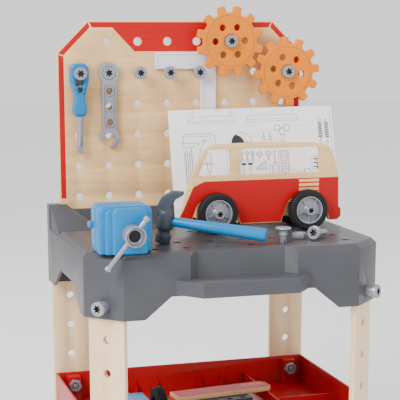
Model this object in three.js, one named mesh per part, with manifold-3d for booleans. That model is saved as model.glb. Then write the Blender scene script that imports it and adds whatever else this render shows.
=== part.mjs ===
// Toy tool bench: a moulded worktop on four plank legs, with a wooden peg board behind it,
// a parts tray below, hanging tools, two meshing gears, a vise and a model bus to build.
// Millimetres, +Z up. Inside the bench group, x = 0 is the middle of the bench, y = 0 is the
// front face of the peg board and z = 0 is the floor. The group is then centred on its box.
import * as THREE from 'three';
import { mergeVertices } from 'three/addons/utils/BufferGeometryUtils.js';
import Module from 'manifold-3d';

const wasm = await Module();
wasm.setup();

// ---- driving dimensions -------------------------------------------------------------------
const PITCH = 50;             // every hole grid on the bench
const GAP = 0.3;              // clearance left between touching pieces
const WORKTOP_Z = 466;        // working surface above the floor
const TOP_ROW_Z = 760;        // highest row of board holes
const TOOL_ROW_Z = TOP_ROW_Z - PITCH;
const PLANK = 9;              // thickness of the legs and board
const LEG_WIDTH = 60;
const HOLE_R = 6;             // board and worktop holes
const SCREW_R = 5;            // shank of every bench screw
const HEAD_R = 10.5;          // screw head
const HEAD_THICK = 8;
const WORKTOP_HALF = 228;     // half the worktop's width
const WORKTOP_FRONT = -329;
const CHAMFER = 48;           // plan length of each cut front corner
const WALL = 5;               // moulded wall of the worktop
const TRAY_TOP = 212;
const TRAY_DEPTH = 47;
const GEAR_TEETH = 12;
const GEAR_TIP_R = 57.5;
const GEAR_ROOT_R = 46;
const GEAR_THICK = 9;
const WHEEL_R = 32;
const HOLE_SIDES = 8;
const ROUND_SIDES = 16;

// ---- materials ----------------------------------------------------------------------------
function plastic(color, roughness = 0.45) {
  return new THREE.MeshStandardMaterial({ color, roughness, metalness: 0 });
}
const GREY = plastic(0x5f6067, 0.4);
const SILVER = plastic(0xaaacb9, 0.35);
const BLUE = plastic(0x00aeef, 0.35);
const RED = plastic(0xbe1928, 0.4);
const ORANGE = plastic(0xfcaf17, 0.45);
const CREAM = plastic(0xebe8f0, 0.5);
const SLATE = plastic(0x3e4654, 0.4);
const BLACK = plastic(0x222226, 0.8);
const WOOD = plastic(0xf5deb8, 0.7);
const RED_PAINT = plastic(0xed1c24, 0.5);
const PAPER = plastic(0xf6f4f4, 0.9);

const bench = new THREE.Group();

function add(name, geometry, material, parent = bench) {
  const mesh = new THREE.Mesh(geometry, material);
  mesh.name = name;
  parent.add(mesh);
  return mesh;
}

// ---- solids: joining, cutting and basic shapes --------------------------------------------
function toSolid(geometry) {
  const bare = geometry.clone();
  bare.deleteAttribute('normal');
  bare.deleteAttribute('uv');
  const merged = mergeVertices(bare, 1e-3);
  const triVerts = Uint32Array.from(merged.index.array);
  const vertProperties = Float32Array.from(merged.attributes.position.array);
  return new wasm.Manifold(new wasm.Mesh({ numProp: 3, vertProperties, triVerts }));
}

function toGeometry(solid) {
  const mesh = solid.getMesh();
  const geometry = new THREE.BufferGeometry();
  geometry.setAttribute('position', new THREE.BufferAttribute(mesh.vertProperties, 3));
  geometry.setIndex(new THREE.BufferAttribute(mesh.triVerts, 1));
  return geometry;
}

function join(...geometries) {
  return toGeometry(geometries.map(toSolid).reduce((all, next) => all.add(next)));
}

function cut(body, ...tools) {
  return toGeometry(tools.map(toSolid).reduce((left, tool) => left.subtract(tool), toSolid(body)));
}

function keepInside(body, limit) {
  return toGeometry(toSolid(body).intersect(toSolid(limit)));
}

// a box from its lowest to its highest corner
function block(x0, y0, z0, x1, y1, z1) {
  const box = new THREE.BoxGeometry(x1 - x0, y1 - y0, z1 - z0);
  return box.translate((x0 + x1) / 2, (y0 + y1) / 2, (z0 + z1) / 2);
}

function outline(points) {
  return new THREE.Shape(points.map(([x, y]) => new THREE.Vector2(x, y)));
}

function circleHole(x, y, radius, sides) {
  const points = [];
  for (let i = 0; i < sides; i += 1) {
    const turn = ((i + 0.5) / sides) * 2 * Math.PI;
    points.push(new THREE.Vector2(x + radius * Math.cos(turn), y + radius * Math.sin(turn)));
  }
  return new THREE.Path(points);
}

function extrude(shape, depth) {
  return new THREE.ExtrudeGeometry(shape, { depth, bevelEnabled: false, curveSegments: 5 });
}

// a plan shape raised from z0 to z1
function plan(shape, z0, z1) {
  return extrude(shape, z1 - z0).translate(0, 0, z0);
}

// a front-view shape (x, z) reaching from yFront back to yBack
function front(shape, yFront, yBack) {
  return extrude(shape, yBack - yFront).rotateX(Math.PI / 2).translate(0, yBack, 0);
}

// a side-view shape (y, z) reaching from x0 to x1
function side(shape, x0, x1) {
  return extrude(shape, x1 - x0).rotateX(Math.PI / 2).rotateZ(Math.PI / 2).translate(x0, 0, 0);
}

// a rod along Y
function rodY(radius, yFront, yBack, x = 0, z = 0, sides = ROUND_SIDES) {
  const rod = new THREE.CylinderGeometry(radius, radius, yBack - yFront, sides);
  return rod.translate(x, (yFront + yBack) / 2, z);
}

function rodZ(radius, z0, z1, x = 0, y = 0, sides = ROUND_SIDES) {
  const rod = new THREE.CylinderGeometry(radius, radius, z1 - z0, sides);
  return rod.rotateX(Math.PI / 2).translate(x, y, (z0 + z1) / 2);
}

// a turned piece about the Y axis from (radius, y) points that start and end on the axis
function turned(points, sides = ROUND_SIDES) {
  return new THREE.LatheGeometry(points.map(([r, y]) => new THREE.Vector2(r, y)), sides);
}

// ---- screws and nuts ----------------------------------------------------------------------
const RECESS_DEPTH = 5;
const NUT_THICK = 9;
const NUT_FLAT_R = 9.5;       // half the width across flats

// six-pointed driver recess, as a prism in the first few millimetres behind y = 0
function starRecess() {
  const points = [];
  for (let i = 0; i < 12; i += 1) {
    const r = i % 2 === 0 ? 6 : 3.8;
    const turn = (i / 12) * 2 * Math.PI;
    points.push([r * Math.cos(turn), r * Math.sin(turn)]);
  }
  return front(outline(points), -1, RECESS_DEPTH);
}

// screw with its head front at y = 0 and its shank reaching back to y = length
function screw(length) {
  const body = turned([
    [0, length],
    [SCREW_R - 1, length],
    [SCREW_R, length - 1],
    [SCREW_R, HEAD_THICK],
    [HEAD_R, HEAD_THICK],
    [HEAD_R, 1.2],
    [HEAD_R - 1.2, 0],
    [0, 0],
  ].reverse());
  return cut(body, starRecess());
}

// hexagon nut from y = 0 back to its thickness
function nut() {
  const across = NUT_FLAT_R / Math.cos(Math.PI / 6);
  const body = rodY(across, 0, NUT_THICK, 0, 0, 6);
  return cut(body, rodY(SCREW_R + GAP, -1, NUT_THICK + 1, 0, 0, 12));
}

// ---- worktop ------------------------------------------------------------------------------
const EDGE_BEVEL = 6;
const APRON_Z = 372;          // lowest edge of the apron
const APRON_MID_Z = 404;      // its raised middle
const SIDE_NOTCH_Z = 408;
const BACK_Y = 12;
const CHAMFER_START = WORKTOP_HALF - CHAMFER;
const RECESS_Y = -314;        // wall of the hand recess
const LEDGE_TOP = 427.3;
const LEDGE_BOTTOM = 406;
const LEDGE_FRONT = -366;
const RAIL_TOP = 491;
const WING_TOP = 500;
const RAIL_FRONT = -10;
const GUSSET_FOOT_Y = -80;
const HOLE_ROWS = [-285, -235, -185, -135, -85];

function plateShape(half, frontY, backY, chamfer) {
  return outline([
    [-half + chamfer, frontY],
    [half - chamfer, frontY],
    [half, frontY + chamfer],
    [half, backY],
    [-half, backY],
    [-half, frontY + chamfer],
  ]);
}

function worktop() {
  const insetCorner = CHAMFER - WALL * 0.6;
  const footprint = plateShape(WORKTOP_HALF, WORKTOP_FRONT, BACK_Y, CHAMFER);
  const skirt = plan(footprint, APRON_Z, WORKTOP_Z - EDGE_BEVEL);
  // the bevelled top: a slice whose upper face is drawn in by the bevel
  const cap = plan(footprint, WORKTOP_Z - EDGE_BEVEL - 1, WORKTOP_Z);
  const place = cap.attributes.position;
  for (let i = 0; i < place.count; i += 1) {
    if (place.getZ(i) > WORKTOP_Z - 1) {
      const inward = (WORKTOP_HALF - EDGE_BEVEL) / WORKTOP_HALF;
      place.setX(i, place.getX(i) * inward);
      place.setY(i, place.getY(i) < 0 ? place.getY(i) + EDGE_BEVEL : place.getY(i));
    }
  }
  const rail = block(-WORKTOP_HALF + 2, RAIL_FRONT, WORKTOP_Z - 10, WORKTOP_HALF - 2, -GAP, RAIL_TOP);
  const parts = [skirt, cap, rail];
  for (const sign of [-1, 1]) {
    const wingIn = sign * 209;
    const wingOut = sign * WORKTOP_HALF;
    const low = Math.min(wingIn, wingOut);
    const high = Math.max(wingIn, wingOut);
    parts.push(block(low, RAIL_FRONT, APRON_Z + 5, high, BACK_Y, WING_TOP));
    parts.push(gusset(sign));
  }
  const shell = join(...parts);
  const hollow = plan(outline([
    [-WORKTOP_HALF + WALL, RAIL_FRONT],
    [-WORKTOP_HALF + WALL, WORKTOP_FRONT + insetCorner + WALL],
    [-CHAMFER_START - WALL * 0.4, WORKTOP_FRONT + WALL],
    [-90, WORKTOP_FRONT + WALL],
    [-72, RECESS_Y + WALL],
    [72, RECESS_Y + WALL],
    [90, WORKTOP_FRONT + WALL],
    [CHAMFER_START + WALL * 0.4, WORKTOP_FRONT + WALL],
    [WORKTOP_HALF - WALL, WORKTOP_FRONT + insetCorner + WALL],
    [WORKTOP_HALF - WALL, RAIL_FRONT],
  ]), APRON_Z - 1, WORKTOP_Z - 7);
  // the board and back legs stand behind the rail, between the side walls
  const bayHalf = WORKTOP_HALF - WALL;
  const backBay = block(-bayHalf, -GAP, APRON_Z - 1, bayHalf, BACK_Y + 1, BACK_LEG_TOP + 2);
  const boardSlot = block(-209, -GAP, APRON_Z - 1, 209, BACK_Y + 1, WING_TOP + 1);
  const frontNotch = front(outline([
    [-150, APRON_Z - 1],
    [150, APRON_Z - 1],
    [110, APRON_MID_Z],
    [-110, APRON_MID_Z],
  ]), WORKTOP_FRONT - 1, RECESS_Y + WALL + 1);
  const sideNotch = side(outline([
    [-255, APRON_Z - 1],
    [-35, APRON_Z - 1],
    [-98, SIDE_NOTCH_Z],
    [-210, SIDE_NOTCH_Z],
  ]), -WORKTOP_HALF - 1, WORKTOP_HALF + 1);
  const handRecess = plan(outline([
    [-82, WORKTOP_FRONT],
    [-82, WORKTOP_FRONT - 10],
    [82, WORKTOP_FRONT - 10],
    [82, WORKTOP_FRONT],
    [67, RECESS_Y],
    [-67, RECESS_Y],
  ]), LEDGE_TOP, WORKTOP_Z + 1);
  const tools = [hollow, backBay, boardSlot, frontNotch, sideNotch, handRecess];
  for (const y of HOLE_ROWS) {
    for (let column = 0; column < 8; column += 1) {
      const x = (column - 3.5) * PITCH;
      if (y > -100 && Math.abs(x) > 150) continue;
      tools.push(rodZ(HOLE_R, WORKTOP_Z - 12, WORKTOP_Z + 3, x, y, HOLE_SIDES));
    }
  }
  for (const sign of [-1, 1]) {
    tools.push(cornerRod(sign, SCREW_R + GAP, -20, 4, FRONT_BOLT_Z));
    tools.push(rodY(SCREW_R + GAP, RAIL_FRONT - 2, 1, sign * BACK_LEG_X, BACK_BOLT_Z, 12));
  }
  // the handle is a solid ledge across the front, below the hand recess
  const ledge = plan(outline([
    [-103, WORKTOP_FRONT + 2],
    [-103, WORKTOP_FRONT],
    [-73, LEDGE_FRONT],
    [73, LEDGE_FRONT],
    [103, WORKTOP_FRONT],
    [103, WORKTOP_FRONT + 2],
    [72, RECESS_Y + 2],
    [-72, RECESS_Y + 2],
  ]), LEDGE_BOTTOM, LEDGE_TOP);
  return join(cut(shell, ...tools), ledge);
}

// a ramp that rises from the working surface to the raised back corner
function gusset(sign) {
  const ramp = new THREE.BufferGeometry();
  const low = WORKTOP_Z - 3;
  const corners = [
    [WORKTOP_HALF - 2, GUSSET_FOOT_Y, low],
    [155, GUSSET_FOOT_Y, low],
    [200, RAIL_FRONT + 1, low],
    [WORKTOP_HALF - 2, RAIL_FRONT + 1, low],
    [WORKTOP_HALF - 2, GUSSET_FOOT_Y, WORKTOP_Z + 0.5],
    [155, GUSSET_FOOT_Y, WORKTOP_Z + 0.5],
    [200, RAIL_FRONT + 1, WING_TOP],
    [WORKTOP_HALF - 2, RAIL_FRONT + 1, WING_TOP],
  ];
  ramp.setAttribute('position', new THREE.BufferAttribute(new Float32Array(corners.flat()), 3));
  const faces = [
    [0, 1, 2], [0, 2, 3],
    [4, 6, 5], [4, 7, 6],
    [0, 5, 1], [0, 4, 5],
    [1, 6, 2], [1, 5, 6],
    [2, 7, 3], [2, 6, 7],
    [3, 4, 0], [3, 7, 4],
  ];
  ramp.setIndex(faces.flat());
  return sign > 0 ? ramp : mirrorX(ramp);
}

function mirrorX(geometry) {
  const copy = geometry.clone().scale(-1, 1, 1);
  const index = copy.index.array;
  for (let i = 0; i < index.length; i += 3) {
    [index[i + 1], index[i + 2]] = [index[i + 2], index[i + 1]];
  }
  return copy;
}

// ---- legs ---------------------------------------------------------------------------------
const FRONT_BOLT_Z = 390;
const BACK_BOLT_Z = 444;
const BACK_LEG_X = 192;
const BACK_LEG_Y = 11;
const BACK_LEG_TOP = 488;
const FRONT_LEG_TOP = 456;
const TRAY_BOLT_Z = 194;
const CORNER_MID_X = WORKTOP_HALF - CHAMFER / 2;
const CORNER_MID_Y = WORKTOP_FRONT + CHAMFER / 2;

// plank with holes one pitch apart, centred on x, from the floor up, front face at y = 0
function legPlank(top, boltZ) {
  const half = LEG_WIDTH / 2;
  const shape = outline([[-half, 0], [half, 0], [half, top], [-half, top]]);
  for (let z = boltZ; z > 60; z -= PITCH) {
    shape.holes.push(circleHole(0, z, SCREW_R + 0.6, HOLE_SIDES));
  }
  return front(shape, 0, PLANK);
}

// turn a piece that faces the front so that it faces out of a cut front corner, depth into the corner
function toCorner(geometry, sign, depth) {
  const reach = depth * Math.SQRT1_2;
  geometry.rotateZ(sign * Math.PI / 4);
  return geometry.translate(sign * (CORNER_MID_X - reach), CORNER_MID_Y + reach, 0);
}

// a rod square to a cut corner, from in front of its face to behind it
function cornerRod(sign, radius, outer, inner, z) {
  return toCorner(rodY(radius, outer, inner + WALL, 0, z, 12), sign, 0);
}

// ---- back panel ---------------------------------------------------------------------------
const BOARD_HALF = 208;
const BOARD_TOP = 793;
const BOARD_BOTTOM = 384;
const BOARD_CUT = 51;

function backPanel() {
  const shape = outline([
    [-BOARD_HALF, BOARD_BOTTOM],
    [BOARD_HALF, BOARD_BOTTOM],
    [BOARD_HALF, BOARD_TOP - BOARD_CUT],
    [BOARD_HALF - BOARD_CUT, BOARD_TOP],
    [-BOARD_HALF + BOARD_CUT, BOARD_TOP],
    [-BOARD_HALF, BOARD_TOP - BOARD_CUT],
  ]);
  for (let row = 0; row < 6; row += 1) {
    for (let column = 0; column < 8; column += 1) {
      if (row === 0 && (column === 0 || column === 7)) continue;
      shape.holes.push(circleHole((column - 3.5) * PITCH, TOP_ROW_Z - row * PITCH, HOLE_R, HOLE_SIDES));
    }
  }
  for (const sign of [-1, 1]) {
    shape.holes.push(circleHole(sign * BACK_LEG_X, BACK_BOLT_Z, SCREW_R + 0.6, HOLE_SIDES));
  }
  return front(shape, 0, PLANK);
}

// ---- parts tray ---------------------------------------------------------------------------
const TRAY_HALF = 220;
const TRAY_WALL = 3;
const TRAY_FRONT = -321;
const TRAY_BACK = 10.7;
const TRAY_CORNER = 60;
const DIVIDER_X = 112;
const DIVIDER_TOP = 188;
const CROSS_Y = -160;         // cross wall of each side bay

function partsTray() {
  const base = TRAY_TOP - TRAY_DEPTH;
  const floor = base + TRAY_WALL;
  const bowl = plan(plateShape(TRAY_HALF, TRAY_FRONT, TRAY_BACK, TRAY_CORNER), base, TRAY_TOP);
  const inside = plan(
    plateShape(TRAY_HALF - TRAY_WALL, TRAY_FRONT + TRAY_WALL, TRAY_BACK - TRAY_WALL, TRAY_CORNER - 1.5),
    floor,
    TRAY_TOP + 1,
  );
  const walls = [cut(bowl, inside)];
  for (const x of [-DIVIDER_X, DIVIDER_X]) {
    walls.push(block(x - 1.5, TRAY_FRONT + 1, base + 1, x + 1.5, TRAY_BACK - 1, DIVIDER_TOP));
    const reach = Math.sign(x) * (TRAY_HALF - DIVIDER_X - 1);
    const ends = [Math.min(x, x + reach), Math.max(x, x + reach)];
    walls.push(block(ends[0], CROSS_Y - 1.5, base + 1, ends[1], CROSS_Y + 1.5, DIVIDER_TOP));
  }
  const tools = [];
  for (const sign of [-1, 1]) {
    const x = sign * BACK_LEG_X;
    walls.push(block(x - 11, -9, base + 1, x + 11, TRAY_BACK - 1, TRAY_TOP - 4));
    tools.push(rodY(SCREW_R + GAP, -20, 20, x, TRAY_BOLT_Z, 12));
  }
  return cut(join(...walls), ...tools);
}

// ---- assembling the bench structure -------------------------------------------------------
add('worktop', worktop(), GREY);
add('back_panel', backPanel(), WOOD);
add('parts_tray', partsTray(), RED);
for (const [name, sign] of [['left', -1], ['right', 1]]) {
  add(`front_leg_${name}`, toCorner(legPlank(FRONT_LEG_TOP, FRONT_BOLT_Z), sign, WALL + GAP), WOOD);
  const backLeg = legPlank(BACK_LEG_TOP, BACK_BOLT_Z).translate(sign * BACK_LEG_X, BACK_LEG_Y, 0);
  add(`back_leg_${name}`, backLeg, WOOD);

  // front corner screw: stands proud of the worktop's cut corner, with its nut inside the leg
  const proud = 20;
  const cornerScrew = screw(50).translate(0, -proud, FRONT_BOLT_Z);
  add(`corner_screw_${name}`, toCorner(cornerScrew, sign, 0), SILVER);
  const cornerNut = nut().translate(0, PLANK + GAP, FRONT_BOLT_Z);
  add(`corner_nut_${name}`, toCorner(cornerNut, sign, WALL + GAP), SILVER);

  // back bolt: through the worktop's rail, the board and the back leg
  const backBolt = screw(48).translate(sign * BACK_LEG_X, RAIL_FRONT - HEAD_THICK - GAP, BACK_BOLT_Z);
  add(`back_bolt_${name}`, backBolt, SILVER);
  const backNut = nut().translate(sign * BACK_LEG_X, BACK_LEG_Y + PLANK + GAP, BACK_BOLT_Z);
  add(`back_nut_${name}`, backNut, SILVER);

  // tray bolt: head behind the back leg, nut inside the tray
  const trayBolt = screw(48).rotateZ(Math.PI);
  const headBack = BACK_LEG_Y + PLANK + GAP + HEAD_THICK;
  add(`tray_bolt_${name}`, trayBolt.translate(sign * BACK_LEG_X, headBack, TRAY_BOLT_Z), SILVER);
  const trayNut = nut().translate(sign * BACK_LEG_X, -9 - NUT_THICK - GAP, TRAY_BOLT_Z);
  add(`tray_nut_${name}`, trayNut, SILVER);
}

// ---- board screws -------------------------------------------------------------------------
// name, column, and how far the head's front stands from the board
const BOARD_SCREWS = [
  ['screwdriver_screw', -3.5, 29],
  ['wrench_screw', -2.5, 11],
  ['board_screw_left', -1.5, 23],
  ['board_screw_middle', -0.5, 23],
  ['board_screw_right', 0.5, 23],
];
const NUT_CLEARANCE = 12;     // shank left behind the board for a nut
for (const [name, column, reach] of BOARD_SCREWS) {
  const length = reach + PLANK + NUT_CLEARANCE;
  add(name, screw(length).translate(column * PITCH, -reach, TOOL_ROW_Z), SILVER);
}

// ---- gears --------------------------------------------------------------------------------
const GEAR_FRONT = -28;
const GEAR_BORE = SCREW_R + 0.5;
const MESH_OFFSET = 2.0;      // degrees that the pair is turned from the line of centres

function gear(phase) {
  const points = [];
  // one tooth, as degrees from its middle and radius
  const tooth = [
    [-8.6, GEAR_ROOT_R],
    [-5.4, GEAR_TIP_R - 2],
    [-3.4, GEAR_TIP_R],
    [3.4, GEAR_TIP_R],
    [5.4, GEAR_TIP_R - 2],
    [8.6, GEAR_ROOT_R],
  ];
  for (let i = 0; i < GEAR_TEETH; i += 1) {
    const middle = phase + i * (360 / GEAR_TEETH);
    for (const [offset, r] of tooth) {
      const turn = THREE.MathUtils.degToRad(middle + offset);
      points.push([r * Math.cos(turn), r * Math.sin(turn)]);
    }
  }
  const shape = outline(points);
  shape.holes.push(circleHole(0, 0, GEAR_BORE, 16));
  for (let i = 0; i < 6; i += 1) {
    const turn = THREE.MathUtils.degToRad(phase + 15 + i * 60);
    shape.holes.push(circleHole(25 * Math.cos(turn), 25 * Math.sin(turn), 5.5, HOLE_SIDES));
  }
  return front(shape, GEAR_FRONT, GEAR_FRONT + GEAR_THICK);
}

const LINE_ANGLE = THREE.MathUtils.radToDeg(Math.atan2(PITCH, 2 * PITCH));
const TOOTH_STEP = 360 / GEAR_TEETH;
const GEARS = [
  ['gear_1', 1.5, TOP_ROW_Z, TOOTH_STEP / 2 - LINE_ANGLE - MESH_OFFSET],
  ['gear_2', 3.5, TOOL_ROW_Z, -LINE_ANGLE + MESH_OFFSET],
];
for (const [name, column, z, phase] of GEARS) {
  const x = column * PITCH;
  add(name, gear(phase).translate(x, 0, z), ORANGE);
  const spacerBack = rodY(12, GEAR_FRONT + GEAR_THICK + GAP, -GAP, x, z, 16);
  const spacerBore = rodY(SCREW_R + GAP, GEAR_FRONT, 1, x, z, 16);
  add(`${name}_spacer`, cut(spacerBack, spacerBore), SILVER);
  const headFront = GEAR_FRONT - HEAD_THICK - GAP;
  const gearScrew = screw(-headFront + PLANK + NUT_CLEARANCE).translate(x, headFront, z);
  add(`${name}_screw`, gearScrew, SILVER);
}

// ---- hanging tools ------------------------------------------------------------------------
function screwdriverHandle(x, z) {
  const right = [[15, 6], [15, -14], [11, -28], [8.5, -40], [8.5, -46], [11, -52], [11, -62], [8, -68]];
  const points = [[-11, 13], [-6, 16], [6, 16], [11, 13]];
  points.push(...right);
  points.push(...right.map(([px, pz]) => [-px, pz]).reverse());
  const shape = outline(points.map(([px, pz]) => [x + px, z + pz]).reverse());
  shape.holes.push(outline([
    [x - 5.6, z + 3],
    [x - 3, z + 5.6],
    [x + 3, z + 5.6],
    [x + 5.6, z + 3],
    [x + 5.6, z - 27],
    [x + 3, z - 31],
    [x - 3, z - 31],
    [x - 5.6, z - 27],
  ]));
  return front(shape, -20, -3);
}

function screwdriverShaft(x, z) {
  const top = z - 68 - GAP;
  const rod = rodZ(5.2, top - 46, top, x, -11.5, 16);
  const blade = front(outline([
    [x - 5, top - 44],
    [x - 6, top - 50],
    [x - 6, top - 60],
    [x + 6, top - 60],
    [x + 6, top - 50],
    [x + 5, top - 44],
  ]), -13, -10);
  return join(rod, blade);
}

function wrench(x, z) {
  const ring = rodY(17.5, -10, -2, x, z, 24);
  const shank = block(x - 12.2, -10, z - 88, x + 12.2, -2, z - 12);
  const jawZ = z - 104;
  const jaw = rodY(16.5, -10, -2, x, jawZ, 24);
  const mouthTurn = THREE.MathUtils.degToRad(35);
  const mouth = block(-9.5, -12, -30, 9.5, 0, 0).rotateY(mouthTurn).translate(x, 0, jawZ);
  const tools = [rodY(HEAD_R + 0.5, -12, 0, x, z, 16), rodY(10.4, -12, 0, x, jawZ, 16), mouth];
  for (let i = 0; i < 3; i += 1) {
    tools.push(rodY(5.7, -12, 0, x, z - 28.5 - 25.2 * i, 10));
  }
  return cut(join(ring, shank, jaw), ...tools);
}

function trySquare(restZ) {
  const armWidth = 27;
  const shape = outline([
    [-47, restZ],
    [30.8, restZ],
    [30.8, TOP_ROW_Z - 150],
    [57, TOP_ROW_Z - 150],
    [57, restZ + armWidth],
    [-47, restZ + armWidth],
  ]);
  return front(shape, -6, -GAP);
}

const DRIVER_X = -3.5 * PITCH;
const WRENCH_X = -2.5 * PITCH;
add('screwdriver_handle', screwdriverHandle(DRIVER_X, TOOL_ROW_Z), BLUE);
add('screwdriver_shaft', screwdriverShaft(DRIVER_X, TOOL_ROW_Z), SILVER);
add('wrench', wrench(WRENCH_X, TOOL_ROW_Z), SILVER);
add('try_square', trySquare(TOOL_ROW_Z + SCREW_R + GAP), CREAM);

// ---- poster: a sheet standing on the worktop and leaning back against the board ------------
const POSTER_WIDTH = 276;
const POSTER_HEIGHT = 191;
const POSTER_LEAN = THREE.MathUtils.degToRad(18);
const POSTER_YAW = THREE.MathUtils.degToRad(-8);
const POSTER_TWIST = THREE.MathUtils.degToRad(1.2);
const poster = add('poster', block(0, -0.6, -POSTER_HEIGHT, POSTER_WIDTH, 0, 0), PAPER);
poster.rotation.set(-POSTER_LEAN, -POSTER_TWIST, POSTER_YAW, 'ZXY');
poster.position.set(-27.5, -10, WORKTOP_Z + GAP + POSTER_HEIGHT * Math.cos(POSTER_LEAN));

// ---- vise ---------------------------------------------------------------------------------
const VISE_X = -172.5;
const VISE_HALF = 39.5;
const VISE_Z = WORKTOP_Z + GAP;
const VISE_HEIGHT = 69;
const SPINDLE_X = -166.8;
const SPINDLE_Z = WORKTOP_Z + 30;
const JAW_FRONT = -325;
const JAW_BACK = -294;
const FIXED_FRONT = -293;
const FIXED_BACK = -262;
const FLUTE = 12;             // how far the moving jaw's middle stands in front of its sides
const HUB_R = 15;
const HUB_LENGTH = 28;
const CUP_R = 12.5;
const CUP_DEPTH = 10;
const LEVER_R = 3.6;
const LEVER_ANGLE = THREE.MathUtils.degToRad(50.6);
const LEVER_Y = JAW_FRONT - GAP - 13;

// a moulded jaw: a plan outline raised to full height, with its top side edges cut off
function jawBlock(planPoints) {
  const c = 7;
  const left = VISE_X - VISE_HALF - 1;
  const right = VISE_X + VISE_HALF + 1;
  const limit = front(outline([
    [left, VISE_Z - 1],
    [right, VISE_Z - 1],
    [right, VISE_Z + VISE_HEIGHT - c],
    [right - c, VISE_Z + VISE_HEIGHT],
    [left + c, VISE_Z + VISE_HEIGHT],
    [left, VISE_Z + VISE_HEIGHT - c],
  ]), JAW_FRONT - 1, FIXED_BACK + 1);
  return keepInside(plan(outline(planPoints), VISE_Z, VISE_Z + VISE_HEIGHT), limit);
}

const viseLeft = VISE_X - VISE_HALF;
const viseRight = VISE_X + VISE_HALF;
const spindleWay = rodY(SCREW_R + 1.5, JAW_FRONT - 5, FIXED_BACK - 6, SPINDLE_X, SPINDLE_Z, 16);
const fixedJaw = jawBlock([
  [viseLeft, FIXED_FRONT],
  [viseRight, FIXED_FRONT],
  [viseRight, FIXED_BACK],
  [viseLeft, FIXED_BACK],
]);
const nubZ = WORKTOP_Z + 35;
const nub = block(viseLeft - 11, FIXED_BACK - 19, nubZ, viseLeft + 2, FIXED_BACK - 7, nubZ + 9);
const movingJaw = jawBlock([
  [viseLeft + 6, JAW_FRONT + FLUTE],
  [viseLeft + 16, JAW_FRONT + FLUTE],
  [viseLeft + 18, JAW_FRONT + FLUTE / 2],
  [viseLeft + 24, JAW_FRONT],
  [viseRight - 13, JAW_FRONT],
  [viseRight - 8, JAW_FRONT + FLUTE],
  [viseRight, JAW_FRONT + FLUTE + 2],
  [viseRight, JAW_BACK],
  [viseLeft, JAW_BACK],
  [viseLeft, JAW_FRONT + FLUTE + 6],
]);
add('vise_fixed_jaw', cut(join(fixedJaw, nub), spindleWay), BLUE);
add('vise_moving_jaw', cut(movingJaw, spindleWay), BLUE);

function spindle() {
  const hubFront = JAW_FRONT - GAP - HUB_LENGTH;
  const hub = rodY(HUB_R, hubFront, JAW_FRONT - GAP, SPINDLE_X, SPINDLE_Z, 24);
  const stem = rodY(SCREW_R + 1, JAW_FRONT - 2, FIXED_BACK - 10, SPINDLE_X, SPINDLE_Z, 16);
  const cup = rodY(CUP_R, hubFront - 1, hubFront + CUP_DEPTH, SPINDLE_X, SPINDLE_Z, 24);
  const leverHole = rodZ(LEVER_R + 0.4, -30, 30, 0, 0, 12)
    .rotateY(Math.PI / 2 - LEVER_ANGLE)
    .translate(SPINDLE_X, LEVER_Y, SPINDLE_Z);
  return cut(join(hub, stem), cup, leverHole);
}

function lever() {
  const low = -60;
  const high = 31;
  const bar = rodZ(LEVER_R, low, high, 0, 0, 12);
  const knobs = [rodZ(4.8, low - 2, low + 4, 0, 0, 12), rodZ(4.8, high - 4, high + 2, 0, 0, 12)];
  return join(bar, ...knobs).rotateY(Math.PI / 2 - LEVER_ANGLE).translate(SPINDLE_X, LEVER_Y, SPINDLE_Z);
}

add('vise_spindle', spindle(), SILVER);
add('vise_lever', lever(), SILVER);

// ---- hammer: built with its handle along +X and its head standing on its face --------------
const hammer = new THREE.Group();
hammer.rotation.set(0, THREE.MathUtils.degToRad(7.4), THREE.MathUtils.degToRad(-23.7), 'ZYX');
hammer.position.set(-99, -238, WORKTOP_Z + 1.9);
bench.add(hammer);

function hammerHead() {
  const face = rodZ(11.5, 0, 14, 0, 0, 20);
  const neck = rodZ(9, 12, 26, 0, 0, 20);
  const eye = rodZ(12.5, 20, 50, 0, 0, 20);
  const claw = front(outline([
    [-12, 44],
    [10, 44],
    [5, 54],
    [8, 65],
    [22, 75],
    [21, 79],
    [6, 77],
    [-6, 68],
    [-12, 56],
  ]), -9, 9);
  const slot = block(7, -2, 60, 30, 2, 90);
  const socket = rodY(6.2, -20, 20, 0, 0, 16).rotateZ(-Math.PI / 2).translate(20, 0, 33);
  return cut(join(face, neck, eye, claw), slot, socket);
}

function hammerHandle() {
  const profile = [[0, 1], [5.7, 1], [5.8, 13], [7, 14], [10.2, 150], [9, 152], [0, 152]];
  return turned(profile, 20).rotateZ(-Math.PI / 2).translate(0, 0, 33);
}

add('hammer_head', hammerHead(), SLATE, hammer);
add('hammer_handle', hammerHandle(), BLUE, hammer);

// ---- loose fastenings on the worktop ------------------------------------------------------
function rivetPeg() {
  const head = turned([
    [0, -0.5],
    [11, 0],
    [12, 1.2],
    [12, 3],
    [6.5, 5.5],
    [6.5, 12],
    [5, 14],
    [5, 40],
    [0, 40],
  ], 20);
  return cut(head.rotateX(-Math.PI / 2), block(-0.8, -8, -45, 0.8, 8, -18));
}
const PEG_HEAD_Z = WORKTOP_Z + 24;
add('rivet_peg', rivetPeg().translate(1.5 * PITCH, -285, PEG_HEAD_Z), SILVER);
const looseNut = nut().rotateX(-Math.PI / 2).rotateZ(0.3);
add('loose_nut', looseNut.translate(113, -253, WORKTOP_Z + NUT_THICK + GAP), SILVER);
const looseScrew = add('loose_screw', screw(44), SILVER);
looseScrew.rotation.set(THREE.MathUtils.degToRad(-6.4), 0, THREE.MathUtils.degToRad(-47), 'ZYX');
looseScrew.position.set(126, -277, WORKTOP_Z + HEAD_R + 1.2);

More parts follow.
